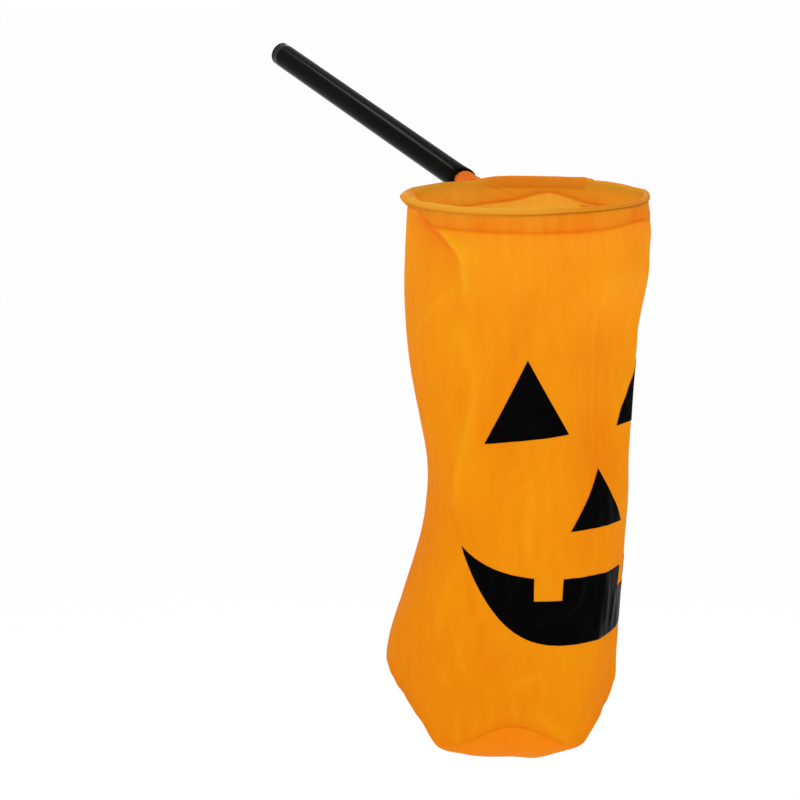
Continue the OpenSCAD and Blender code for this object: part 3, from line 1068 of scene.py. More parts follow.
@dataclass(frozen=True)
class ClothFinish(Finish):
    """Thin woven nylon: saturated colour, a soft sheen and light that comes through.

    The sheet's two faces act as one layer: light is scattered where it enters and leaves freely.

    Attributes:
        valley: colour at the tone's low end, the painted shade in the folds' valleys.
        crest: colour at the tone's high end, the painted highlight on the folds' crests.
        through: colour of the light that comes through.
        translucency: share of the light that comes through.
        wire: colour of the painted shade where a wire shows through, if one does.
        pitch: spacing of the weave in metres.
        cloudy: how strongly clouds and streaks show in the tone.
        core: share of the light that comes through where the cloth is rolled round the wire.
        through_valley: how much of the light's colour comes through in the valleys, lowered there as painted
            shade.
        through_crest: how much of it comes through on the crests, raised there as painted highlight.
    """

    valley: Colour
    crest: Colour
    through: Colour
    translucency: float
    wire: Colour | None = None
    pitch: float = 0.0005
    cloudy: float = 0.17
    core: float = 0.25
    through_valley: Colour = (0.93, 0.62, 0.6)
    through_crest: Colour = (1.0, 1.16, 1.2)

    def paint(self, made: MaterialTree) -> None:
        """Adds the weave, clouds, creases and streaks, and the light that comes through.

        Args:
            made: the material.
        """
        cloth, spot = made.cloth_place(), made.object_place()
        weave = made.group(GROUPS.weave, cloth, Pitch=self.pitch)
        cloud = made.group(GROUPS.mottle, spot, Scale=14.0, Detail=3.0)
        crease = made.group(GROUPS.mottle, spot, Scale=90.0, Detail=4.0)
        streak = made.group(GROUPS.scuffs, cloth, Stretch=(130.0, 16.0, 0.0))
        soft = math_node(made.tree, "ADD", cloud, made.span(streak, -0.1, 0.1))
        # The tone is random clouds and streaks plus the fold attribute, which holds painted shade and highlight.
        tone = math_node(made.tree, "MULTIPLY_ADD", soft, self.cloudy, made.attribute("fold"))
        colour = made.blend(tone, self.valley, self.crest)
        # Painted shade where the wire shows through the roll, and a painted shadow line under the roll.
        if self.wire is not None:
            colour = made.tint(made.attribute("wire"), colour, self.wire)
        made.feed(Base_Color=colour, Roughness=made.span(crease, 0.5, 0.64))
        made.fix(Specular_IOR_Level=0.03, Sheen_Weight=0.05, Sheen_Roughness=0.4)
        made.fix(Sheen_Tint=(1.0, 0.42, 0.02, 1.0))
        made.bumps((streak, 0.1, 0.003), (crease, 0.25, 0.0006), (weave, 0.2, 0.00008))
        self.let_light_through(made, tone)

    def let_light_through(self, made: MaterialTree, tone: Socket) -> None:
        """Adds the light that comes through, and lets it leave freely at the sheet's other face.

        Args:
            made: the material.
            tone: how light the cloth is: random clouds and streaks with the painted shade and highlight of the
                folds.
        """
        # The light that comes through is also darker in the valleys and lighter on the crests: painted shade and
        # highlight.
        low, high = (
            tuple(share * part for share, part in zip(shares, self.through))
            for shares in (self.through_valley, self.through_crest)
        )
        glow = made.add("ShaderNodeBsdfTranslucent")
        made.link(made.blend(tone, low, high), glow.inputs["Color"])
        share = made.span(made.attribute("core"), self.translucency, self.core)
        lit = mix_shaders(made.tree, share, made.shader.outputs[0], glow.outputs[0])
        behind = made.add("ShaderNodeNewGeometry").outputs["Backfacing"]
        clear = made.add("ShaderNodeBsdfTransparent").outputs[0]
        made.link(mix_shaders(made.tree, behind, lit, clear), made.output.inputs["Surface"])


@dataclass(frozen=True)
class TwoColourFinish(Finish):
    """A finish whose colour goes from one to another over fine lines or clouds.

    Attributes:
        low: colour in the grooves, or of the plain surface.
        high: colour on the crests, or where it is rubbed.
    """

    low: Colour
    high: Colour


@dataclass(frozen=True)
class ThreadFinish(TwoColourFinish):
    """Sewing thread with the slanting lines of its twist."""

    def paint(self, made: MaterialTree) -> None:
        """Adds the twist.

        Args:
            made: the material.
        """
        twist = made.group(GROUPS.scuffs, made.object_place(), Stretch=(2600.0, 2600.0, 1500.0))
        made.feed(Base_Color=made.blend(twist, self.low, self.high))
        made.fix(Roughness=0.55, Specular_IOR_Level=0.05)
        made.bumps((twist, 0.4, 0.0001))


@dataclass(frozen=True)
class FilmFinish(TwoColourFinish):
    """Pressed-on black film: smooth, with a soft gloss and faint creases."""

    def paint(self, made: MaterialTree) -> None:
        """Adds rubbed clouds and fine creases.

        Args:
            made: the material.
        """
        spot = made.object_place()
        cloud = made.group(GROUPS.mottle, spot, Scale=55.0, Detail=4.0)
        fine = made.group(GROUPS.scuffs, spot, Stretch=(420.0, 420.0, 160.0))
        made.feed(Base_Color=made.blend(cloud, self.low, self.high), Roughness=made.span(fine, 0.26, 0.42))
        made.fix(Specular_IOR_Level=0.015)
        made.bumps((cloud, 0.2, 0.0008), (fine, 0.12, 0.0002))


@dataclass(frozen=True)
class PlasticFinish(TwoColourFinish):
    """Extruded or moulded black plastic with fine rubbed lines.

    Attributes:
        roughness: least and most roughness.
        stretch: how close the lines lie in each direction, a metre.
    """

    roughness: tuple[float, float]
    stretch: tuple[float, float, float]

    def paint(self, made: MaterialTree) -> None:
        """Adds the rubbed lines and an uneven gloss.

        Args:
            made: the material.
        """
        spot = made.object_place()
        lines = made.group(GROUPS.scuffs, spot, Stretch=self.stretch)
        cloud = made.group(GROUPS.mottle, spot, Scale=40.0, Detail=3.0)
        gloss = made.span(cloud, *self.roughness)
        made.feed(Base_Color=made.blend(lines, self.low, self.high), Roughness=gloss)
        made.fix(Specular_IOR_Level=0.04)
        made.bumps((lines, 0.15, 0.0001))


@dataclass(frozen=True)
class WireFinish(TwoColourFinish):
    """Drawn spring steel with faint lines."""

    def paint(self, made: MaterialTree) -> None:
        """Adds the drawn lines.

        Args:
            made: the material.
        """
        lines = made.group(GROUPS.scuffs, made.object_place(), Stretch=(900.0, 900.0, 4000.0))
        made.feed(Base_Color=made.blend(lines, self.low, self.high), Roughness=made.span(lines, 0.28, 0.5))
        made.fix(Metallic=1.0)

# Each cloth goes from its valley colour, painted shade, to its crest colour, painted highlight, as its tone rises.
GLOW: Colour = (1.0, 0.50, 0.04)
WALL_CLOTH = ClothFinish("bag_cloth", (0.90, 0.120, 0.001), (0.99, 0.430, 0.005), GLOW, 0.50)
# The bag's inner side is the same cloth in lighter colours: painted light inside the bag.
LIT_INSIDE_CLOTH = ClothFinish("bag_inside_painted_light", (0.93, 0.28, 0.012), (0.99, 0.58, 0.060), GLOW, 0.50)
# The hem's last colour is the painted shade where the wire shows through the roll.
HEM_CLOTH = ClothFinish(
    "hem_cloth", (0.96, 0.245, 0.002), (0.99, 0.58, 0.050), (1.0, 0.58, 0.08), 0.45, (0.42, 0.12, 0.002)
)
# The gathered cloth's colours are darker than the wall's: painted shade of the gathered wad.
NECK_CLOTH = ClothFinish("neck_cloth", (0.90, 0.150, 0.010), (0.95, 0.270, 0.030), (1.0, 0.5, 0.1), 0.30)
# The base's colours, with its low tone, are darker than the wall's: painted shade of its underside.
BASE_CLOTH = ClothFinish("base_cloth", (0.95, 0.235, 0.004), (0.97, 0.340, 0.007), GLOW, 0.30)
THREAD = ThreadFinish("sewing_thread", (0.86, 0.17, 0.006), (0.94, 0.25, 0.010))
FACE_FILM = FilmFinish("face_film", (0.0003, 0.0003, 0.0003), (0.0009, 0.0008, 0.0008))
TUBE_PLASTIC = PlasticFinish(
    "tube_plastic", (0.0010, 0.0009, 0.0009), (0.0034, 0.0031, 0.0029), (0.11, 0.17), (900.0, 40.0, 900.0)
)
PLUG_PLASTIC = PlasticFinish(
    "plug_plastic", (0.012, 0.012, 0.012), (0.022, 0.021, 0.020), (0.4, 0.55), (300.0, 300.0, 300.0)
)
STEEL = WireFinish("spring_steel", (0.34, 0.33, 0.32), (0.62, 0.61, 0.60))


@dataclass
class Workshop:
    """Dresses pieces, sets them on their bodies and reports them."""

    materials: dict[str, bpy.types.Material] = field(default_factory=dict)
    allowance_tone: float = 0.35

    def finish(self, finish: Finish) -> bpy.types.Material:
        """A finish's material, built once.

        Args:
            finish: the finish.

        Returns:
            Its material.
        """
        if finish.name not in self.materials:
            self.materials[finish.name] = finish.material()
        return self.materials[finish.name]

    def dress(self, piece: Piece, finish: Finish, slot: Slot, body: Body, *nodes: str) -> Piece:
        """Gives a piece its finish, its body and the nodes that it stands for.

        Args:
            piece: the piece.
            finish: its finish.
            slot: the record's material slot; not used.
            body: the body that it rides on.
            nodes: the nodes that it replaces.

        Returns:
            The piece.
        """
        piece.data.materials.clear()
        piece.data.materials.append(self.finish(finish))
        if nodes:
            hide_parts(*nodes)
        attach(piece, body.value)
        LOG.info("%s rides on %s and has %d faces", piece.name, body.value, len(piece.data.polygons))
        return piece

    def allowance(
        self, name: str, points: Array, cells: tuple[Array, Array], thickness: float, body: Body, node: str
    ) -> Piece:
        """A seam allowance: a strip of the hem's cloth in one tone.

        Args:
            name: the piece's name.
            points: its points, as (row, column, 3).
            cells: its faces and their cloth coordinates.
            thickness: the cloth's thickness.
            body: the body that it rides on.
            node: the node that it replaces.

        Returns:
            The strip.
        """
        faces, corners = cells
        strip = mesh_object(name, points, [faces], [corners])
        add_attribute(strip, "fold", np.full(points.shape[:2], self.allowance_tone))
        thicken(strip, thickness)
        return self.dress(strip, HEM_CLOTH, Slot.CLOTH, body, node)

    def repaint(self, node: str, finish: Finish) -> None:
        """Gives a solid that stays in sight its finish.

        Args:
            node: the solid's node.
            finish: the finish.
        """
        solid = frame["nodes"][node]
        solid.data.materials.clear()
        solid.data.materials.append(self.finish(finish))
        LOG.info("%s keeps its solid, with the finish %s", node, finish.name)


@dataclass
class HandleAssembly:
    """The black tube, its end cap, and the plug and wire tails inside it.

    The tube's own places are x, y across it and z along it from its mouth to its cap.
    """

    workshop: Workshop
    outer_r: float = 8.5
    bore_r: float = 7.3
    length: float = frame["record"]["mounts"][0]["dims"]["length_mm"]
    mouth_slant: float = 22.0
    mouth_turn: float = 210.0
    lip: float = 0.45
    runs: int = 39
    cap_r: float = 8.4
    cap_flange: float = 2.6
    cap_round: float = 1.4
    cap_dish: float = 0.35
    cap_spigot: float = 11.0
    spigot_r: float = 7.25
    spigot_bevel: float = 0.6
    step: float = 0.02
    pole_r: float = 0.2
    around: int = 96

    def axes(self) -> Array:
        """The tube's own x, y and z directions, z along the grip's axis.

        Returns:
            The directions, one in each row.
        """
        along = np.array(frame["record"]["mounts"][0]["axis"], dtype=float)
        along /= np.linalg.norm(along)
        across = np.array([1.0, 0.0, 0.0])
        return np.stack([across, np.cross(along, across), along])

    def turns(self) -> Array:
        """Angles of a ring's points."""
        return 2 * np.pi * np.arange(self.around) / self.around

    def lathe(self, radii: Array, levels: Array) -> Array:
        """Rings about the tube's axis: (r cos t, r sin t, z).

        Args:
            radii: each ring's radius.
            levels: each ring's place along the tube, one for each point.

        Returns:
            Points in the frame, as (ring, point, 3).
        """
        t, r = self.turns(), radii[:, None]
        local = np.broadcast_arrays(r * np.cos(t), r * np.sin(t), levels)
        return np.stack(local, axis=-1) @ self.axes()

    def mouth_level(self) -> Array:
        """Where the slanted cut meets each line of the tube: it rises by tan(slant) across the tube."""
        across = self.outer_r * (1 + np.cos(self.turns() - math.radians(self.mouth_turn)))
        return -self.length / 2 + across * math.tan(math.radians(self.mouth_slant))

    def build_tube(self) -> None:
        """The tube: from the cap end along its outside, round its mouth's lip and back along its bore."""
        turn = np.linspace(0, np.pi, 9)
        lip_r = (self.outer_r + self.bore_r) / 2 + (self.outer_r - self.bore_r) / 2 * np.cos(turn)
        lip_z = self.lip * (1 - np.sin(turn))
        mouth = self.mouth_level()
        runs = np.linspace(1, 0, self.runs + 1)[:-1, None]
        sides = mouth + self.lip + runs * (self.length / 2 - mouth - self.lip)
        levels = np.vstack([sides, mouth + lip_z[:, None], sides[::-1]])
        radii = np.concatenate([np.full(self.runs, self.outer_r), lip_r, np.full(self.runs, self.bore_r)])
        faces = grid_faces(len(radii), self.around, wrap_columns=True, wrap_rows=True)
        piece = mesh_object("handle_barrel", self.lathe(radii, levels), [faces[:, ::-1]])
        self.workshop.dress(piece, TUBE_PLASTIC, Slot.PLASTIC, Body.HANDLE, "handle_tube")

    def build_cap(self) -> None:
        """The cap: a spigot, a step and a flange with a rounded edge and a shallow dished face."""
        turn = np.linspace(0, np.pi / 2, 9)
        edge_r = self.cap_r - self.cap_round * (1 - np.cos(turn))
        edge_z = self.cap_flange - self.cap_round * (1 - np.sin(turn))
        face_r = np.linspace(edge_r[-1], self.pole_r, 12)[1:]
        face_z = self.cap_flange - self.cap_dish * smooth(1 - face_r / edge_r[-1])
        spigot_r = [self.pole_r, self.spigot_r - self.spigot_bevel, self.spigot_r, self.spigot_r, self.cap_r]
        end = -self.cap_spigot
        spigot_z = [end, end, end + self.spigot_bevel, self.step, self.step]
        radii = np.concatenate([spigot_r, edge_r, face_r])
        levels = self.length / 2 + np.concatenate([spigot_z, edge_z, face_z])
        points = self.lathe(radii, np.repeat(levels[:, None], self.around, axis=1))
        faces = grid_faces(len(radii), self.around, wrap_columns=True)
        last = (len(radii) - 1) * self.around
        ends = np.stack([np.arange(self.around)[::-1], last + np.arange(self.around)])
        piece = mesh_object("handle_cap", points, [faces[:, ::-1], ends])
        self.workshop.dress(piece, TUBE_PLASTIC, Slot.PLASTIC, Body.HANDLE, "handle_end_cap")

    def build(self) -> None:
        """Makes the handle's pieces and repaints the solids inside it."""
        self.build_tube()
        self.build_cap()
        self.workshop.repaint("neck_plug", PLUG_PLASTIC)
        self.workshop.repaint("wire_tails", STEEL)


@dataclass
class Stitching:
    """Rows of stitches: each is a short thread that rises from the cloth and dives back."""

    thread_r: float = 0.17
    length: float = 2.6
    gap: float = 0.22
    rings: int = 6
    sides: int = 6
    rise: float = 0.14

    def rows(self, name: str, rows: list[tuple[Array, Array]], closed: bool) -> Piece:
        """Rows of stitches as one piece.

        Args:
            name: the piece's name.
            rows: for each row many points along it, and the direction out of the cloth at each of them.
            closed: each row's end meets its start.

        Returns:
            The stitches.
        """
        parts = [tubes(*self.row(line, out, closed), self.sides) for line, out in rows]
        starts = np.cumsum([0] + [points.size // 3 for points, _ in parts])
        faces = [block + start for (_, blocks), start in zip(parts, starts) for block in blocks]
        return mesh_object(name, np.vstack([points.reshape(-1, 3) for points, _ in parts]), faces)

    def row(self, line: Array, out: Array, closed: bool) -> tuple[Array, Array, Array]:
        """Stitches along a line: a thread of half-ellipse height along each share of the line.

        Args:
            line: many points along the row.
            out: the direction out of the cloth at each point.
            closed: the line's end meets its start.

        Returns:
            The centres of the threads' rings and their two radius vectors.
        """
        path = np.vstack([line, line[:1]]) if closed else line
        lean = np.vstack([out, out[:1]]) if closed else out
        run = np.concatenate([[0], np.cumsum(np.linalg.norm(np.diff(path, axis=0), axis=1))])
        count = max(int(run[-1] / self.length), 1)
        share = np.linspace(self.gap / 2, 1 - self.gap / 2, self.rings)
        share = (share - 0.5) * (1 - self.gap / self.length) / (1 - self.gap) + 0.5
        places = (np.arange(count)[:, None] + share) * run[-1] / count
        centre = np.stack([np.interp(places, run, path[:, i]) for i in range(3)], axis=-1)
        normal = np.stack([np.interp(places, run, lean[:, i]) for i in range(3)], axis=-1)
        normal /= np.linalg.norm(normal, axis=-1, keepdims=True)
        along = np.gradient(centre, axis=1)
        along /= np.linalg.norm(along, axis=-1, keepdims=True)
        side = np.cross(along, normal)
        arch = np.sin(np.linspace(0, np.pi, self.rings))
        centre = centre + normal * (self.rise * (2 * arch - 1))[None, :, None]
        size = self.thread_r * (0.45 + 0.55 * arch**0.5)[None, :, None]
        return centre, side * size, normal * size


@dataclass(frozen=True)
class RollForm:
    """A stretch of the hoop where the hem's roll is wider, taller or lower than a plain round one.

    Attributes:
        where: the stretch.
        outward: how much wider the roll is outwards.
        inward: how much wider it is inwards.
        taller: how much more its half height is.
        lower: how much lower its middle is.
        over: how much further it wraps inwards, as a share of the most.
        from_seam: the stretch is counted from the side seam, not from the front panel's middle.
    """

    where: Hump | Stretch
    outward: float = 0.0
    inward: float = 0.0
    taller: float = 0.0
    lower: float = 0.0
    over: float = 0.0
    from_seam: bool = False

    def sizes(self) -> tuple[float, ...]:
        """The five sizes in the order of the fields."""
        return self.outward, self.inward, self.taller, self.lower, self.over


# The front's left half is full and droops, the left end is a wide low lobe, and the far side is slack and
# tall from the seam on, with a peak and a rise before it. The right end stands a little high.
ROLL_FORMS = (
    RollForm(Stretch(-112, 24, 45, 70), 0.5, 0.3, 0.6, 0.7, 0.4),
    RollForm(Stretch(-72, 24, 45, 70), taller=0.35, lower=0.6),
    RollForm(Hump(1.0, -92, 12), 1.5, 3.2, 1.9, 2.2, 0.4),
    RollForm(Stretch(-2.5, 5, 61, 15), 0.6, 1.3, 2.2, 0.0, 1.0, from_seam=True),
    RollForm(Hump(1.0, -1.8, 1.4), taller=0.8, lower=-0.4, from_seam=True),
    RollForm(Hump(1.0, -12, 15), taller=0.7, lower=-0.7, from_seam=True),
    RollForm(Hump(1.0, 98, 14), taller=0.65, lower=-0.65),
)


@dataclass
class HoopAssembly:
    """The hem round the wire, its stitches, and the cloth gathered into the tube's mouth.

    Directions in its stretches and waves are counted from the front panel's middle.
    """

    workshop: Workshop
    shape: BagShape
    stitching: Stitching
    around: int = 480
    leg_points: int = 13
    roll_points: int = 25
    roll_r: float = 1.8
    roll_start: float = -62.0
    roll_end: float = 186.0
    roll_over: float = 56.0
    roll_forms: tuple[RollForm, ...] = ROLL_FORMS
    lumps: Waves = ((0.05, 13, 0), (0.03, 29, 50))
    wander: Waves = ((0.06, 11, 20), (0.05, 17, 0))
    patches: Waves = ((0.06, 9, 60), (0.04, 22, 0))
    leg_out: float = 0.62
    outer_edge: float = 0.7
    inner_edge: float = 0.6
    row_w: float = 0.8
    row_press: tuple[float, float] = (0.32, 0.3)
    flap_out: float = 0.5
    flap_fade: float = 1.3
    pucker_h: float = 0.1
    pucker_reach: float = 4.0
    neck_pull: Hump = Hump(3.0, 0, 4.5)
    pull_out: Ramp = Ramp(-1.5, 3)
    pull_up: Ramp = Ramp(-5, 4)
    fan_rise: Ramp = Ramp(-1, 4)
    wander_up: Ramp = Ramp(-3, 4)
    inside: Ramp = Ramp(0.45, 0.3)
    # The hem's tone is painted light and shade: painted light inside and on the front of the roll, painted shade
    # along the stitches and at the first fold, painted shade and highlight on the puckers and the neck's creases.
    band_tone: float = 0.25
    inside_painted_light: float = 0.75
    roll_tone: float = 0.2
    roll_highlight_tone: float = 0.32
    streak_tone: float = 0.07
    row_painted_shade: float = 0.12
    streak_rise: Ramp = Ramp(0, 4)
    gather_tone: float = 0.3
    entry_tone: float = 0.25
    # Where the painted shade of the wire and the painted shadow line under the roll lie.
    roll_shadow_line: tuple[float, float] = (0.13, 0.07)
    roll_shadow_front: Ramp = Ramp(-30, 60)
    right_roll_shade: float = 0.2
    right_roll_shade_rise: Ramp = Ramp(10, 40)
    roll_highlight: Stretch = Stretch(-88, 30, 40, 60)
    cored: Stretch = Stretch(-110, 20, 110, 20)
    roll_shade_stretch: Stretch = Stretch(-80, 20, 115, 20)
    thread_out: float = 0.35
    gather_r: float = 7.1
    gather_start: float = -13.0
    gather_end: float = 0.985
    gather_cell: tuple[float, float] = (0.3, 0.5)
    gather_spread: Ramp = Ramp(1, 12)
    pleats: tuple[tuple[float, ...], ...] = ((0.55, 17, 1.2, 2, 0.12), (0.45, 29, 0.9, 3, 0.3))
    pleat_fade: float = 6.0
    # Painted shade in the pleats' hollows, lighter between them.
    pleat_tone: tuple[float, float] = (0.9, 1.1)
    gather_rows: int = 48
    gather_sides: int = 240
    gather_wide: float = 0.5
    gather_flat: float = 0.62
    pleat_depth: float = 0.085

    def directions(self) -> Array:
        """Directions of the hem's columns."""
        return 360.0 * np.arange(self.around) / self.around

    def roll_sizes(self, phi: Array) -> tuple[Array, ...]:
        """Half widths outwards and inwards of the roll, its half height, its middle's level and its overhang.

        Args:
            phi: directions.

        Returns:
            The five sizes at each direction.
        """
        past = self.shape.seam_angle(phi)
        more = sum(
            np.outer(form.sizes(), form.where.at(past if form.from_seam else phi)) for form in self.roll_forms
        )
        outward, inward, half = self.roll_r + wavy(phi, self.lumps) + more[:3]
        return outward, inward, half, more[3], np.clip(more[4], 0, 1)

    def profile(self, phi: Array) -> tuple[Array, Array, Array]:
        """The hem's section: up the outside from the stitches, over the wire, and down the inside.

        The roll is an ellipse about the wire, and each leg is a curve from the roll to the stitches, pressed
        in along the row of stitches.

        Args:
            phi: directions.

        Returns:
            Distance out from the wire, level below it and share of the roll, as (profile point, column).
        """
        outward, inward, half, middle, over = self.roll_sizes(phi)
        stitch = self.shape.stitch_level(phi)
        leg = np.linspace(0, 1, self.leg_points, endpoint=False)[:, None]
        share = np.linspace(0, 1, self.roll_points)[:, None]
        turn = np.radians(self.roll_start + share * (self.roll_end - self.roll_start + self.roll_over * over))
        roll_x = np.where(np.cos(turn) > 0, outward, inward) * np.cos(turn)
        roll_h = middle - half * np.sin(turn)
        low = stitch + self.outer_edge
        out_h = low + leg * (roll_h[:1] - low)
        out_x = self.leg_out + leg**3 * (roll_x[:1] - self.leg_out)
        out_x = out_x - self.row_press[0] * bump(out_h, stitch, self.row_w)
        leg = leg[::-1]
        in_h = roll_h[-1:] + (1 - leg) * (low + self.inner_edge - roll_h[-1:])
        in_x = -self.leg_out + smooth(leg) * (roll_x[-1:] + self.leg_out)
        in_x = in_x + self.row_press[1] * bump(in_h, stitch, self.row_w)
        in_x = in_x + self.flap_out * smooth((in_h - stitch) / self.flap_fade)
        under = np.vstack([0 * out_x, share + 0 * roll_x, 1 + 0 * in_x])
        return np.vstack([out_x, roll_x, in_x]), np.vstack([out_h, roll_h, in_h]), under

    def build_hem(self) -> Piece:
        """The hem, one strip of cloth folded over the wire all round the hoop.

        Its section is moved outwards by the dent at the stitches, the pull at the neck, the creases that run
        out from the neck, the puckers and the first fold.

        Returns:
            The hem.
        """
        shape = self.shape
        az = self.directions()
        phi = shape.panel_angle(az)
        x, h, under = self.profile(phi)
        stitch = shape.stitch_level(phi)
        lean = smooth(np.clip(h, 0, None) / stitch)
        pull = self.neck_pull.at(phi - shape.neck_phi) * self.pull_out.at(x) * self.pull_up.at(-h)
        gather = shape.fan(phi + 0 * h, h) * self.fan_rise.at(h) * smooth(-x)
        near_row = bump(h, stitch, self.pucker_reach)
        pucker = self.pucker_h * shape.puckers(phi) * near_row
        x = x - shape.dent(phi) * lean + pull + gather + pucker + shape.entry(phi + 0 * h, h)
        h = h + wavy(phi, self.wander) * self.wander_up.at(-h)
        points = shape.place(az[None, :], shape.rim_r + x, h)
        corners = grid_corners(np.append(az, 360.0) * shape.mm_per_degree, np.arange(len(x) + 0.0))
        faces = grid_faces(len(x), self.around, wrap_columns=True)
        piece = mesh_object("hem_cloth", points, [faces[:, ::-1]], [corners[:, ::-1]])
        self.shade_hem(piece, phi, x, h, under, gather)
        thicken(piece, shape.cloth_t)
        return self.workshop.dress(piece, HEM_CLOTH, Slot.CLOTH, Body.HOOP, "rim_casing")

    def shade_hem(
        self, piece: Piece, phi: Array, x: Array, h: Array, under: Array, gather: Array
    ) -> None:
        """Stores the hem's tone, where it is rolled round the wire, and where the wire shows through.

        The tone has painted light inside and on the front of the roll, random patches along the band, painted
        shade and highlight in streaks at the puckers, painted shade along the row of stitches, painted shade and
        highlight on the neck's creases, and painted shade where the first fold starts. Where the wire shows
        through
        is painted shade: a shadow line under the roll's outer side, and a darker roll towards the right.

        Args:
            piece: the hem.
            phi: directions of its columns.
            x: distances out from the wire.
            h: levels below it.
            under: shares of the roll.
            gather: heights of the creases at the neck.
        """
        shape = self.shape
        on_roll = np.sin(np.pi * under)
        near_row = bump(h, shape.stitch_level(phi), self.pucker_reach)
        # Painted shade and highlight in streaks at the puckers, and painted shade along the row of stitches.
        streaks = self.streak_tone * shape.puckers(phi) - self.row_painted_shade * near_row
        # Random patches along the band, and painted light inside.
        band = self.band_tone + wavy(phi, self.patches) + self.inside_painted_light * self.inside.at(under)
        # Painted highlight on the front of the roll.
        roll = self.roll_tone + self.roll_highlight_tone * self.roll_highlight.at(phi)
        tone = band * (1 - on_roll) + roll * on_roll
        # Painted shade and highlight on the neck's creases.
        tone = tone + self.gather_tone * gather + streaks * self.streak_rise.at(h)
        # Painted shade where the first fold starts.
        add_attribute(piece, "fold", tone + self.entry_tone * shape.entry(phi + 0 * h, h))
        add_attribute(piece, "core", on_roll * self.cored.at(phi))
        # Painted shadow line under the roll's outer side, stronger at the front.
        line = bump(under, *self.roll_shadow_line) * (x > 0) * (0.5 + 0.5 * self.roll_shadow_front.at(phi))
        # This share darkens the roll towards the right: painted shade of the wire.
        glow = self.right_roll_shade * on_roll * self.right_roll_shade_rise.at(phi)
        add_attribute(piece, "wire", (line + glow) * self.roll_shade_stretch.at(phi))

    def build_stitches(self) -> Piece:
        """The row of stitches in the hem's groove, as it shows outside and inside.

        Returns:
            The stitches.
        """
        az = self.directions()
        phi = self.shape.panel_angle(az)
        out = self.shape.outward(az)
        level = self.shape.stitch_level(phi)
        middle = self.shape.rim_r - self.shape.dent(phi) + self.shape.entry(phi, level)
        rows = [
            (self.shape.place(az, middle + self.thread_out * side, level), out * side) for side in (1, -1)
        ]
        piece = self.stitching.rows("hem_stitches", rows, closed=True)
        return self.workshop.dress(piece, THREAD, Slot.THREAD, Body.HOOP, "hem_thread")

    def build_gather(self) -> Piece:
        """The gathered cloth: a pleated skin about the leads, from the hem into the tube's mouth.

        It is a ball inside the tube, and spreads and flattens from the tube's mouth to the hem. Pleats of
        uneven waves run along it.

        Returns:
            The gathered cloth.
        """
        rows, sides = self.gather_rows, self.gather_sides
        along = (self.shape.neck_at - self.shape.hoop_at) * [1, 1, 0]
        reach = float(np.linalg.norm(along))
        along /= reach
        up = np.array([0.0, 0.0, 1.0])
        across = np.cross(along, up)
        d = np.linspace(self.gather_start, self.gather_r * self.gather_end, rows)[:, None]
        ball = np.sqrt(np.maximum(self.gather_r**2 - np.maximum(d, 0) ** 2, 0))
        spread = self.gather_spread.at(-d)
        t = np.linspace(0, 2 * np.pi, sides, endpoint=False)[None, :]
        pleat = sum(
            share * (0.5 + 0.5 * np.sin(count * t + sway * np.sin(turns * t) + drift * d))
            for share, count, sway, turns, drift in self.pleats
        )
        r = ball * (1 - self.pleat_depth * smooth((d - self.gather_start) / self.pleat_fade) * pleat)
        points = (
            self.shape.hoop_at
            + (reach + d)[..., None] * along
            + (r * (1 + self.gather_wide * spread) * np.cos(t))[..., None] * across
            + (r * (1 - self.gather_flat * spread) * np.sin(t))[..., None] * up
        )
        faces = grid_faces(rows, sides, wrap_columns=True)
        cap = ((rows - 1) * sides + np.arange(sides))[None, ::-1]
        u, v = np.arange(sides + 1) * self.gather_cell[0], np.arange(rows) * self.gather_cell[1]
        corners = [grid_corners(u, v), np.zeros((1, sides, 2))]
        piece = mesh_object("neck_cloth", points, [faces, cap], corners)
        # Painted shade in the pleats' hollows.
        add_attribute(piece, "fold", self.pleat_tone[0] - self.pleat_tone[1] * pleat)
        return self.workshop.dress(piece, NECK_CLOTH, Slot.CLOTH, Body.HOOP, "neck_gather")

    def build(self) -> None:
        """Makes the hoop's pieces and repaints the wire."""
        hem = self.build_hem()
        stitches = self.build_stitches()
        neck = self.build_gather()
        self.workshop.repaint("rim_wire", STEEL)


@dataclass
class Collapse:
    """Gives the soft pieces their own meshes; it does not flatten them as the base is lifted."""

    joint: str = "bag_collapse"
    axis: tuple[float, float, float] = (0.0, 0.0, 1.0)

    def apply(self, piece: Piece, shape: BagShape, level: float) -> None:
        """Gives a piece its own copy of its mesh; it does not flatten it."""
        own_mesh(piece)


@dataclass(frozen=True)
class Triangle:
    """A three-cornered patch of the face.

    Attributes:
        name: the node that it stands for.
        middle: its sideways place from the face's middle.
        width: its width.
        height: its height.
        up: height of its lower edge above the lowest lip.
        tilt: how far the lower edge's right end is raised and its left end lowered.
    """

    name: str
    middle: float
    width: float
    height: float
    up: float
    tilt: float = 0.0


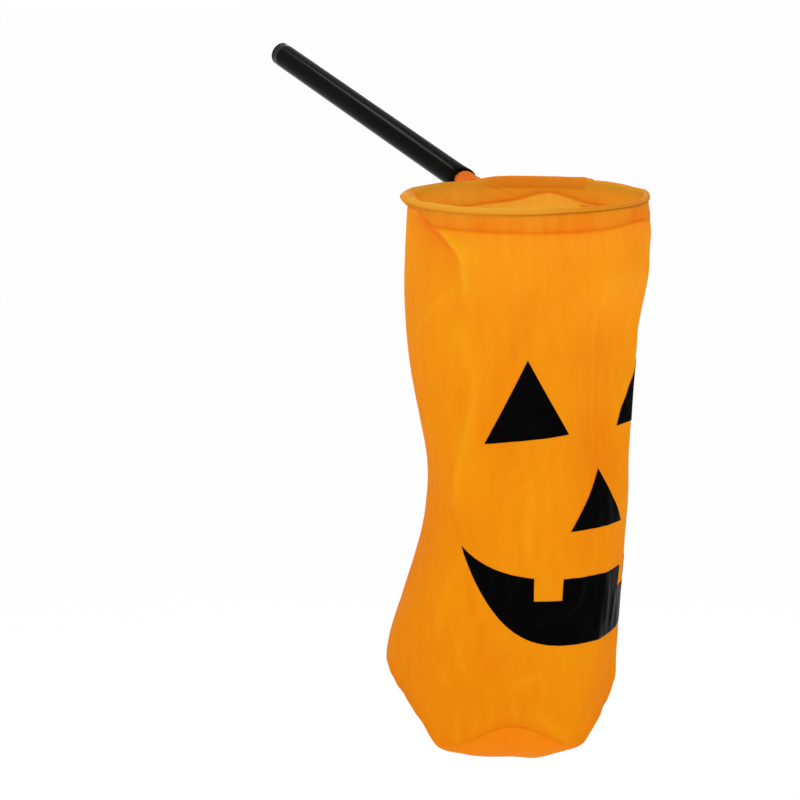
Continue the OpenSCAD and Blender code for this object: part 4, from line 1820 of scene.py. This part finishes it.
@dataclass
class BagAssembly:
    """The bag's wall with its side seam, and the face pressed on it."""

    workshop: Workshop
    shape: BagShape
    stitching: Stitching
    collapse: Collapse
    around: int = 288
    rows: int = 166
    top_lap: float = 0.5
    top_in: float = 0.25
    top_fade: float = 1.4
    bottom_in: float = 0.6
    bottom_fade: float = 3.2
    # Painted shade on the wall just above the base seam.
    seam_shade: Hump = Hump(0.5, -4, 20)
    seam_shade_w: float = 1.6
    strip_rows: int = 80
    strip_columns: int = 13
    strip_ends: tuple[float, float] = (0.6, 0.5)
    strip_gap: float = 0.5
    strip_edge: float = 0.35
    strip_wave: float = 0.15
    strip_wave_w: float = 9.0
    thread_ends: tuple[float, float] = (1.5, 1.6)
    thread_points: int = 200
    thread_out: float = 0.05
    film_t: float = 0.12
    film_out: float = 0.32
    film_step: float = 1.2
    film_edge: float = 0.15
    face_az: float = -2.5
    face_r: float = 80.0
    lip_level: float = 268.0
    triangles: tuple[Triangle, ...] = (
        Triangle("left_eye", -49.0, 52.0, 48.0, 131.0, 3.0),
        Triangle("right_eye", 49.0, 52.0, 48.0, 134.0, 1.5),
        Triangle("nose", 0.0, 44.0, 36.0, 74.0),
    )
    mouth_w: float = 178.0
    mouth_h: float = 63.0
    mouth_end: float = 0.1
    lip_dip: float = 19.2
    lip_bend: float = 4.3
    lip_power: float = 4.1
    tooth_w: float = 18.0
    tooth_h: float = 14.0
    tooth_spacing: float = 69.0
    tooth_step: float = 0.06
    tooth_clear: float = 0.3
    lip_edge: float = 0.2

    def build_wall(self) -> Piece:
        """The wall: the bag's surface from the hem's stitches to the base seam, turned in at both edges.

        Returns:
            The wall.
        """
        shape = self.shape
        columns = shape.columns(self.around)
        phi = shape.panel_angle(columns)
        top, seam = shape.stitch_level(phi) - self.top_lap, shape.seam_drop(columns)
        h = top + np.linspace(0, 1, self.rows)[:, None] * (seam - top)
        az, phi = np.broadcast_to(columns, h.shape), np.broadcast_to(phi, h.shape)
        turned = self.top_in * bump(h, top, self.top_fade)
        turned = turned + self.bottom_in * smooth((h - seam) / self.bottom_fade + 1) ** 2
        points = shape.place(az, shape.reach(az, h) - turned, h)
        u = np.append(columns, columns[0] + 360) * shape.mm_per_degree
        faces = grid_faces(self.rows, self.around, wrap_columns=True)
        corners = grid_corners(u, np.linspace(top.mean(), seam.mean(), self.rows))
        piece = mesh_object("bag_cloth", points, [faces], [corners])
        # Painted shade just above the base seam, taken from the tone.
        line = self.seam_shade.at(phi) * np.exp((h - seam) / self.seam_shade_w)
        add_attribute(piece, "fold", shape.tone(phi, h) - line)
        # The inner side gets the lighter copy of the cloth: painted light inside the bag.
        thicken(piece, shape.cloth_t, inner_finish_offset=1)
        self.workshop.dress(piece, WALL_CLOTH, Slot.CLOTH, Body.HOOP, "bag_wall")
        piece.data.materials.append(self.workshop.finish(LIT_INSIDE_CLOTH))
        self.collapse.apply(piece, shape, 0.0)
        return piece

    def build_side_seam(self) -> list[Piece]:
        """The seam allowance inside the wall, pressed open, and the stitches in the seam's groove.

        The allowance lies inside the wall, with its edges lifted and a slow wave down its length.

        Returns:
            The allowance and the stitches.
        """
        shape = self.shape
        rows, columns, width = self.strip_rows, self.strip_columns, shape.seam_allowance
        half = width / 2 / shape.mm_per_degree
        across = np.linspace(-half, half, columns)[None, :]
        bottom = shape.seam_drop(np.array(shape.seam_az)) - width - self.strip_ends[1]
        level = np.linspace(shape.hem + self.strip_ends[0], bottom, rows)[:, None]
        az, h = np.broadcast_arrays(shape.seam_az + across, level)
        lift = self.strip_gap + self.strip_edge * np.abs(across / half) ** 2
        lift = lift + self.strip_wave * np.sin(level / self.strip_wave_w)
        points = shape.place(az, shape.reach(az, h) - shape.cloth_t - lift, h)
        corners = grid_corners(np.linspace(0, width, columns), np.linspace(0, bottom, rows))
        cells = grid_faces(rows, columns), corners
        strip = self.workshop.allowance(
            "side_allowance", points, cells, shape.cloth_t, Body.HOOP, "side_seam"
        )
        above, below = self.thread_ends
        down = np.linspace(shape.hem + above, bottom + width - below, self.thread_points)
        seam = np.full_like(down, shape.seam_az)
        row = shape.point(seam, down, self.thread_out), shape.outward(seam)
        stitches = self.stitching.rows("side_stitches", [row], closed=False)
        self.workshop.dress(stitches, THREAD, Slot.THREAD, Body.HOOP, "side_thread")
        for piece in (strip, stitches):
            self.collapse.apply(piece, shape, 0.0)
        return [strip, stitches]

    def film(self, name: str, along: Array, top: Array, bottom: Array) -> Piece:
        """A film patch on the wall, ruled from its upper to its lower edge.

        Args:
            name: the node that it stands for.
            along: sideways places of its columns, from the face's middle.
            top: height of its upper edge above the lowest lip.
            bottom: height of its lower edge.

        Returns:
            The patch.
        """
        rows = max(int((top - bottom).max() / self.film_step), 4)
        share = np.linspace(0, 1, rows)[:, None]
        height = top + share * (bottom - top)
        az = self.face_az + np.degrees(along / self.face_r) + 0 * share
        points = self.shape.point(az, self.lip_level - height, self.film_out)
        piece = mesh_object(name + "_film", points, [grid_faces(rows, len(along))])
        thicken(piece, self.film_t)
        self.workshop.dress(piece, FACE_FILM, Slot.FILM, Body.HOOP, name)
        self.collapse.apply(piece, self.shape, 0.0)
        return piece

    def triangle(self, form: Triangle) -> Piece:
        """A three-cornered patch: its upper edge is height (1 - |x|) above its lower edge.

        Args:
            form: its name, place and sizes.

        Returns:
            The patch.
        """
        x = np.linspace(-1, 1, 2 * int(form.width / 2 / self.film_step) + 1)
        bottom = form.up + form.tilt * x
        along = form.middle + x * (form.width / 2 - self.film_edge)
        return self.film(form.name, along, bottom + form.height * (1 - np.abs(x)) + self.film_edge, bottom)

    def mouth(self) -> Piece:
        """The grin: two lips, and a square tooth cut into the upper lip on each side.

        The upper lip is mouth_h - lip_dip (1 - |x|^bend), less a tooth, and the lower lip is
        mouth_h |x|^power. Two columns stand close together at each side of a tooth.

        Returns:
            The patch.
        """
        half = self.mouth_w / 2
        inner = (self.tooth_spacing - self.tooth_w) / 2
        outer = inner + self.tooth_w
        steps = (-self.tooth_step, self.tooth_step)
        edges = np.array([side * x + step for side in (-1, 1) for x in (inner, outer) for step in steps])
        end = half - self.mouth_end
        plain = np.linspace(-end, end, int(self.mouth_w / self.film_step))
        plain = plain[np.abs(plain[:, None] - edges).min(axis=1) > self.tooth_clear]
        along = np.sort(np.concatenate([plain, edges]))
        x = np.abs(along / half)
        tooth = (np.abs(along) > inner) & (np.abs(along) < outer)
        lip = self.mouth_h - self.lip_dip * (1 - x**self.lip_bend)
        bite = self.mouth_h - self.lip_dip - self.tooth_h
        upper = np.where(tooth, bite, lip) + self.lip_edge
        return self.film("mouth", along, upper, self.mouth_h * x**self.lip_power)

    def build(self) -> None:
        """Makes the wall, its seam and the face."""
        wall = self.build_wall()
        parts = self.build_side_seam()
        parts += [self.triangle(form) for form in self.triangles]
        parts.append(self.mouth())


@dataclass
class BaseAssembly:
    """The base that bulges below its seam, the seam's allowance inside, and its stitches."""

    workshop: Workshop
    shape: BagShape
    stitching: Stitching
    collapse: Collapse
    around: int = 288
    rows: int = 60
    strip_rows: int = 10
    side_power: float = 1.12
    front_power: float = 2.4
    front: Stretch = Stretch(-51, 12, 45, 12)
    front_deep: Ramp = Ramp(12, 22)
    left_more: float = 5.0
    left: Ramp = Ramp(10, 20)
    back_full: float = 0.85
    back: Ramp = Ramp(112, 36)
    row_power: float = 1.3
    slack_waves: Waves = ((0.4, 5, 0.6), (0.3, 9, 0.0), (0.2, 14, 0.0))
    # Painted shade and highlight that follow the slack waves.
    slack_tone: float = 0.1
    roll_out: float = 0.5
    roll_rate: float = 12.0
    edge_in: float = 0.8
    edge_up: float = 0.6
    # Painted highlight along the base's edge just below the seam.
    edge_highlight: Hump = Hump(0.45, -4, 24)
    edge_highlight_w: float = 0.06
    tone: float = 0.3
    strip_in: float = 2.1
    strip_end: float = 0.8
    strip_wave: float = 0.25
    strip_waves: int = 40
    strip_lean: float = 0.5
    thread_in: float = 1.1
    thread_down: float = 0.4
    cut_round: float = 474.0
    cut_depth: float = 90.0

    def fullness(self, phi: Array, seam: Array) -> Array:
        """How full the base's bulge is: most at the front where it is deep, and much at the back.

        Args:
            phi: directions.
            seam: the seam's level at each of them.

        Returns:
            Numbers from 0 to 1.
        """
        depth = self.shape.bottom_level - seam + self.left_more * self.left.at(-phi)
        front = self.front_deep.at(depth) * self.front.at(phi)
        return np.maximum(front, self.back_full * self.back.at(np.abs(phi)))

    def build_panel(self) -> Piece:
        """The base: a superellipse (r / edge)^p + depth^p = 1 from the seam down, fuller at the front.

        Slack waves run round it between the seam and its lowest point.

        Returns:
            The base.
        """
        shape = self.shape
        az = shape.columns(self.around)[None, :]
        phi = shape.panel_angle(az)
        t = np.linspace(0, 1, self.rows + 1)[:-1, None] ** self.row_power
        seam = shape.seam_drop(az)
        edge = shape.reach(az, seam) - self.edge_in
        power = self.side_power + (self.front_power - self.side_power) * self.fullness(phi, seam)
        share = (1 - t**power) ** (1 / power)
        turn = np.radians(phi)
        waves = sum(height * np.sin(count * turn + phase) for height, count, phase in self.slack_waves)
        slack = np.sin(np.pi * t) ** 2 * waves
        r = edge * share + self.roll_out * np.sin(np.minimum(t * self.roll_rate, np.pi))
        h = seam - self.edge_up + (shape.bottom_level - seam + self.edge_up) * t + slack
        pole = shape.hoop_at - [0, 0, shape.bottom_level]
        points = np.vstack([shape.place(az, r, h).reshape(-1, 3), pole])
        last = (self.rows - 1) * self.around + np.arange(self.around)
        fan = np.stack([last, np.full(self.around, len(points) - 1), np.roll(last, -1)], axis=1)
        faces = grid_faces(self.rows, self.around, wrap_columns=True)
        u, v = np.linspace(0, self.cut_round, self.around + 1), np.linspace(0, self.cut_depth, self.rows)
        corners = [grid_corners(u, v), np.zeros((self.around, 3, 2))]
        piece = mesh_object("base_cloth", points, [faces, fan], corners)
        # Painted highlight along the edge below the seam, and painted shade and highlight on the slack waves.
        line = self.edge_highlight.at(phi) * np.exp(-t / self.edge_highlight_w)
        tone = self.tone + self.slack_tone * slack + line
        add_attribute(piece, "fold", np.append(tone.ravel(), self.tone))
        thicken(piece, shape.cloth_t)
        return self.workshop.dress(piece, BASE_CLOTH, Slot.CLOTH, Body.BASE, "base_panel")

    def build_allowance(self) -> Piece:
        """The seam allowance, a loose strip that stands up inside the wall, with a wavy upper edge.

        Returns:
            The allowance.
        """
        shape, rows = self.shape, self.strip_rows
        az = shape.columns(self.around)[None, :]
        rise = np.linspace(1, 0, rows)[:, None]
        h = shape.seam_drop(az) - self.strip_end - rise * (shape.seam_allowance - self.strip_end)
        az = np.broadcast_to(az, h.shape)
        wave = (self.strip_wave * np.sin(np.radians(self.strip_waves * az)) - self.strip_lean) * rise
        points = shape.place(az, shape.reach(az, h) - self.strip_in + wave, h)
        u, v = np.linspace(0, self.cut_round, self.around + 1), np.linspace(0, shape.seam_allowance, rows)
        cells = grid_faces(rows, self.around, wrap_columns=True), grid_corners(u, v)
        return self.workshop.allowance(
            "base_allowance", points, cells, shape.cloth_t, Body.BASE, "base_seam"
        )

    def build_stitches(self) -> Piece:
        """The stitches in the groove between the wall and the base.

        Returns:
            The stitches.
        """
        az = self.shape.columns(3 * self.around)
        h = self.shape.seam_drop(az) + self.thread_down
        row = self.shape.point(az, h, -self.thread_in), self.shape.outward(az)
        piece = self.stitching.rows("base_stitches", [row], closed=True)
        return self.workshop.dress(piece, THREAD, Slot.THREAD, Body.BASE, "base_thread")

    def build(self) -> None:
        """Makes the base's pieces."""
        panel, *others = self.build_panel(), self.build_allowance(), self.build_stitches()
        for piece in (panel, *others):
            self.collapse.apply(piece, self.shape, self.shape.seam_level)


@dataclass(frozen=True)
class Lamp:
    """A soft lamp that faces the bag.

    Attributes:
        name: its name.
        az: its direction round the hoop.
        up: its angle above the horizon.
        away: its distance from the bag's middle.
        size: its width and height.
        power: its power in watts.
    """

    name: str
    az: float
    up: float
    away: float
    size: tuple[float, float]
    power: float


LAMPS = (
    Lamp("key_lamp", -62.0, 50.0, 3000.0, (1200.0, 1200.0), 2.0),
    Lamp("front_lamp", -40.0, -14.0, 950.0, (700.0, 500.0), 1.2),
    Lamp("back_left_lamp", -160.0, 57.0, 1500.0, (500.0, 160.0), 1.8),
    Lamp("back_right_lamp", 140.0, 14.0, 1500.0, (600.0, 600.0), 3.0),
)


@dataclass
class Studio:
    """The floor, the lights and the camera."""

    shape: BagShape
    camera_az: float = -39.6
    camera_away: float = 1374.0
    camera_up: float = 169.0
    yaw: float = 3.24
    pitch: float = 12.27
    lens: float = 100.0
    sensor: float = 36.0
    near: float = 0.01
    far: float = 100.0
    floor_level: float = 420.0
    floor_size: float = 40000.0
    floor_low: Colour = (0.955, 0.955, 0.955)
    floor_high: Colour = (0.97, 0.97, 0.97)
    floor_white: float = 0.92
    sky: float = 0.9
    lamps: tuple[Lamp, ...] = LAMPS
    lamp_aim: float = 150.0

    def seen_white(self, tree: Tree) -> Socket:
        """1 for rays from the camera, and for those that gloss or glass sends on.

        Args:
            tree: the node tree.

        Returns:
            The mask.
        """
        path = tree.nodes.new("ShaderNodeLightPath").outputs
        first = math_node(tree, "MAXIMUM", path["Is Camera Ray"], path["Is Glossy Ray"])
        return math_node(tree, "MAXIMUM", first, path["Is Transmission Ray"])

    def build_sky(self) -> None:
        """Even soft light from all round, white where it is seen."""
        world = bpy.data.worlds.new("studio")
        bpy.context.scene.world = world
        world.use_nodes = True
        tree = world.node_tree
        light, seen = tree.nodes["Background"], tree.nodes.new("ShaderNodeBackground")
        for node, strength in ((light, self.sky), (seen, 1.0)):
            node.inputs["Color"].default_value = (1.0, 1.0, 1.0, 1.0)
            node.inputs["Strength"].default_value = strength
        both = mix_shaders(tree, self.seen_white(tree), light.outputs[0], seen.outputs[0])
        tree.links.new(both, tree.nodes["World Output"].inputs["Surface"])

    def build_floor(self) -> None:
        """A wide pale floor below the hanging bag, which keeps a part of the bag's soft shadow."""
        half = self.floor_size / 2
        level = self.shape.hoop_at[2] - self.shape.bottom_level - self.floor_level
        corners = np.array([[x * half, y * half, level] for x, y in ((-1, -1), (1, -1), (1, 1), (-1, 1))])
        floor = mesh_object("floor", corners, [np.array([[0, 1, 2, 3]])])
        made = MaterialTree("floor_paper")
        grain = made.group(GROUPS.mottle, made.object_place(), Scale=3.0, Detail=2.0)
        made.feed(Base_Color=made.blend(grain, self.floor_low, self.floor_high))
        made.fix(Roughness=0.9, Specular_IOR_Level=0.0)
        glow = made.add("ShaderNodeEmission").outputs[0]
        share = math_node(made.tree, "MULTIPLY", self.seen_white(made.tree), self.floor_white)
        both = mix_shaders(made.tree, share, made.shader.outputs[0], glow)
        made.link(both, made.output.inputs["Surface"])
        floor.data.materials.append(made.material)

    def aim(self, name: str, data: bpy.types.ID, place: Array, ahead: Array) -> Piece:
        """A lamp or camera as an object that looks ahead.

        Args:
            name: its name.
            data: the lamp or camera.
            place: where it stands, in millimetres.
            ahead: the direction in which it looks.

        Returns:
            The object.
        """
        thing = bpy.data.objects.new(name, data)
        bpy.context.scene.collection.objects.link(thing)
        thing.location = Vector(place * MM)
        thing.rotation_mode = "QUATERNION"
        thing.rotation_quaternion = Vector(ahead).to_track_quat("-Z", "Y")
        return thing

    def direction(self, az: float, up: float) -> Array:
        """The unit vector in the direction az and at an angle above the horizon."""
        turn, rise = math.radians(az), math.radians(up)
        return np.array([math.sin(turn) * math.cos(rise), -math.cos(turn) * math.cos(rise), math.sin(rise)])

    def build_lamp(self, lamp: Lamp) -> None:
        """Makes a lamp.

        Args:
            lamp: its place, size and power.
        """
        data = bpy.data.lights.new(lamp.name, "AREA")
        data.shape = "RECTANGLE"
        data.size, data.size_y = lamp.size[0] * MM, lamp.size[1] * MM
        data.energy = lamp.power
        back = self.direction(lamp.az, lamp.up)
        middle = self.shape.hoop_at - np.array([0, 0, self.lamp_aim])
        self.aim(lamp.name, data, middle + lamp.away * back, -back)

    def build_camera(self) -> None:
        """The camera at the photograph's place."""
        data = bpy.data.cameras.new("camera")
        data.lens = self.lens
        data.sensor_width = self.sensor
        data.clip_start, data.clip_end = self.near, self.far
        away = self.direction(self.camera_az, 0.0) * self.camera_away
        place = self.shape.hoop_at + away + [0, 0, self.camera_up]
        ahead = -self.direction(self.camera_az + self.yaw, self.pitch)
        bpy.context.scene.camera = self.aim("camera", data, place, ahead)

    def build(self) -> None:
        """Makes the studio."""
        bpy.context.scene.view_settings.view_transform = "Standard"
        self.build_camera()
        self.build_sky()
        self.build_floor()
        for lamp in self.lamps:
            self.build_lamp(lamp)


def main() -> None:
    """Builds the studio, then the bag's sub-assemblies in order."""
    logging.basicConfig(level=logging.INFO, format="%(message)s")
    workshop, shape, stitching, collapse = Workshop(), BagShape(), Stitching(), Collapse()
    Studio(shape).build()
    HandleAssembly(workshop).build()
    HoopAssembly(workshop, shape, stitching).build()
    BagAssembly(workshop, shape, stitching, collapse).build()
    BaseAssembly(workshop, shape, stitching, collapse).build()


if __name__ == "__main__":
    main()
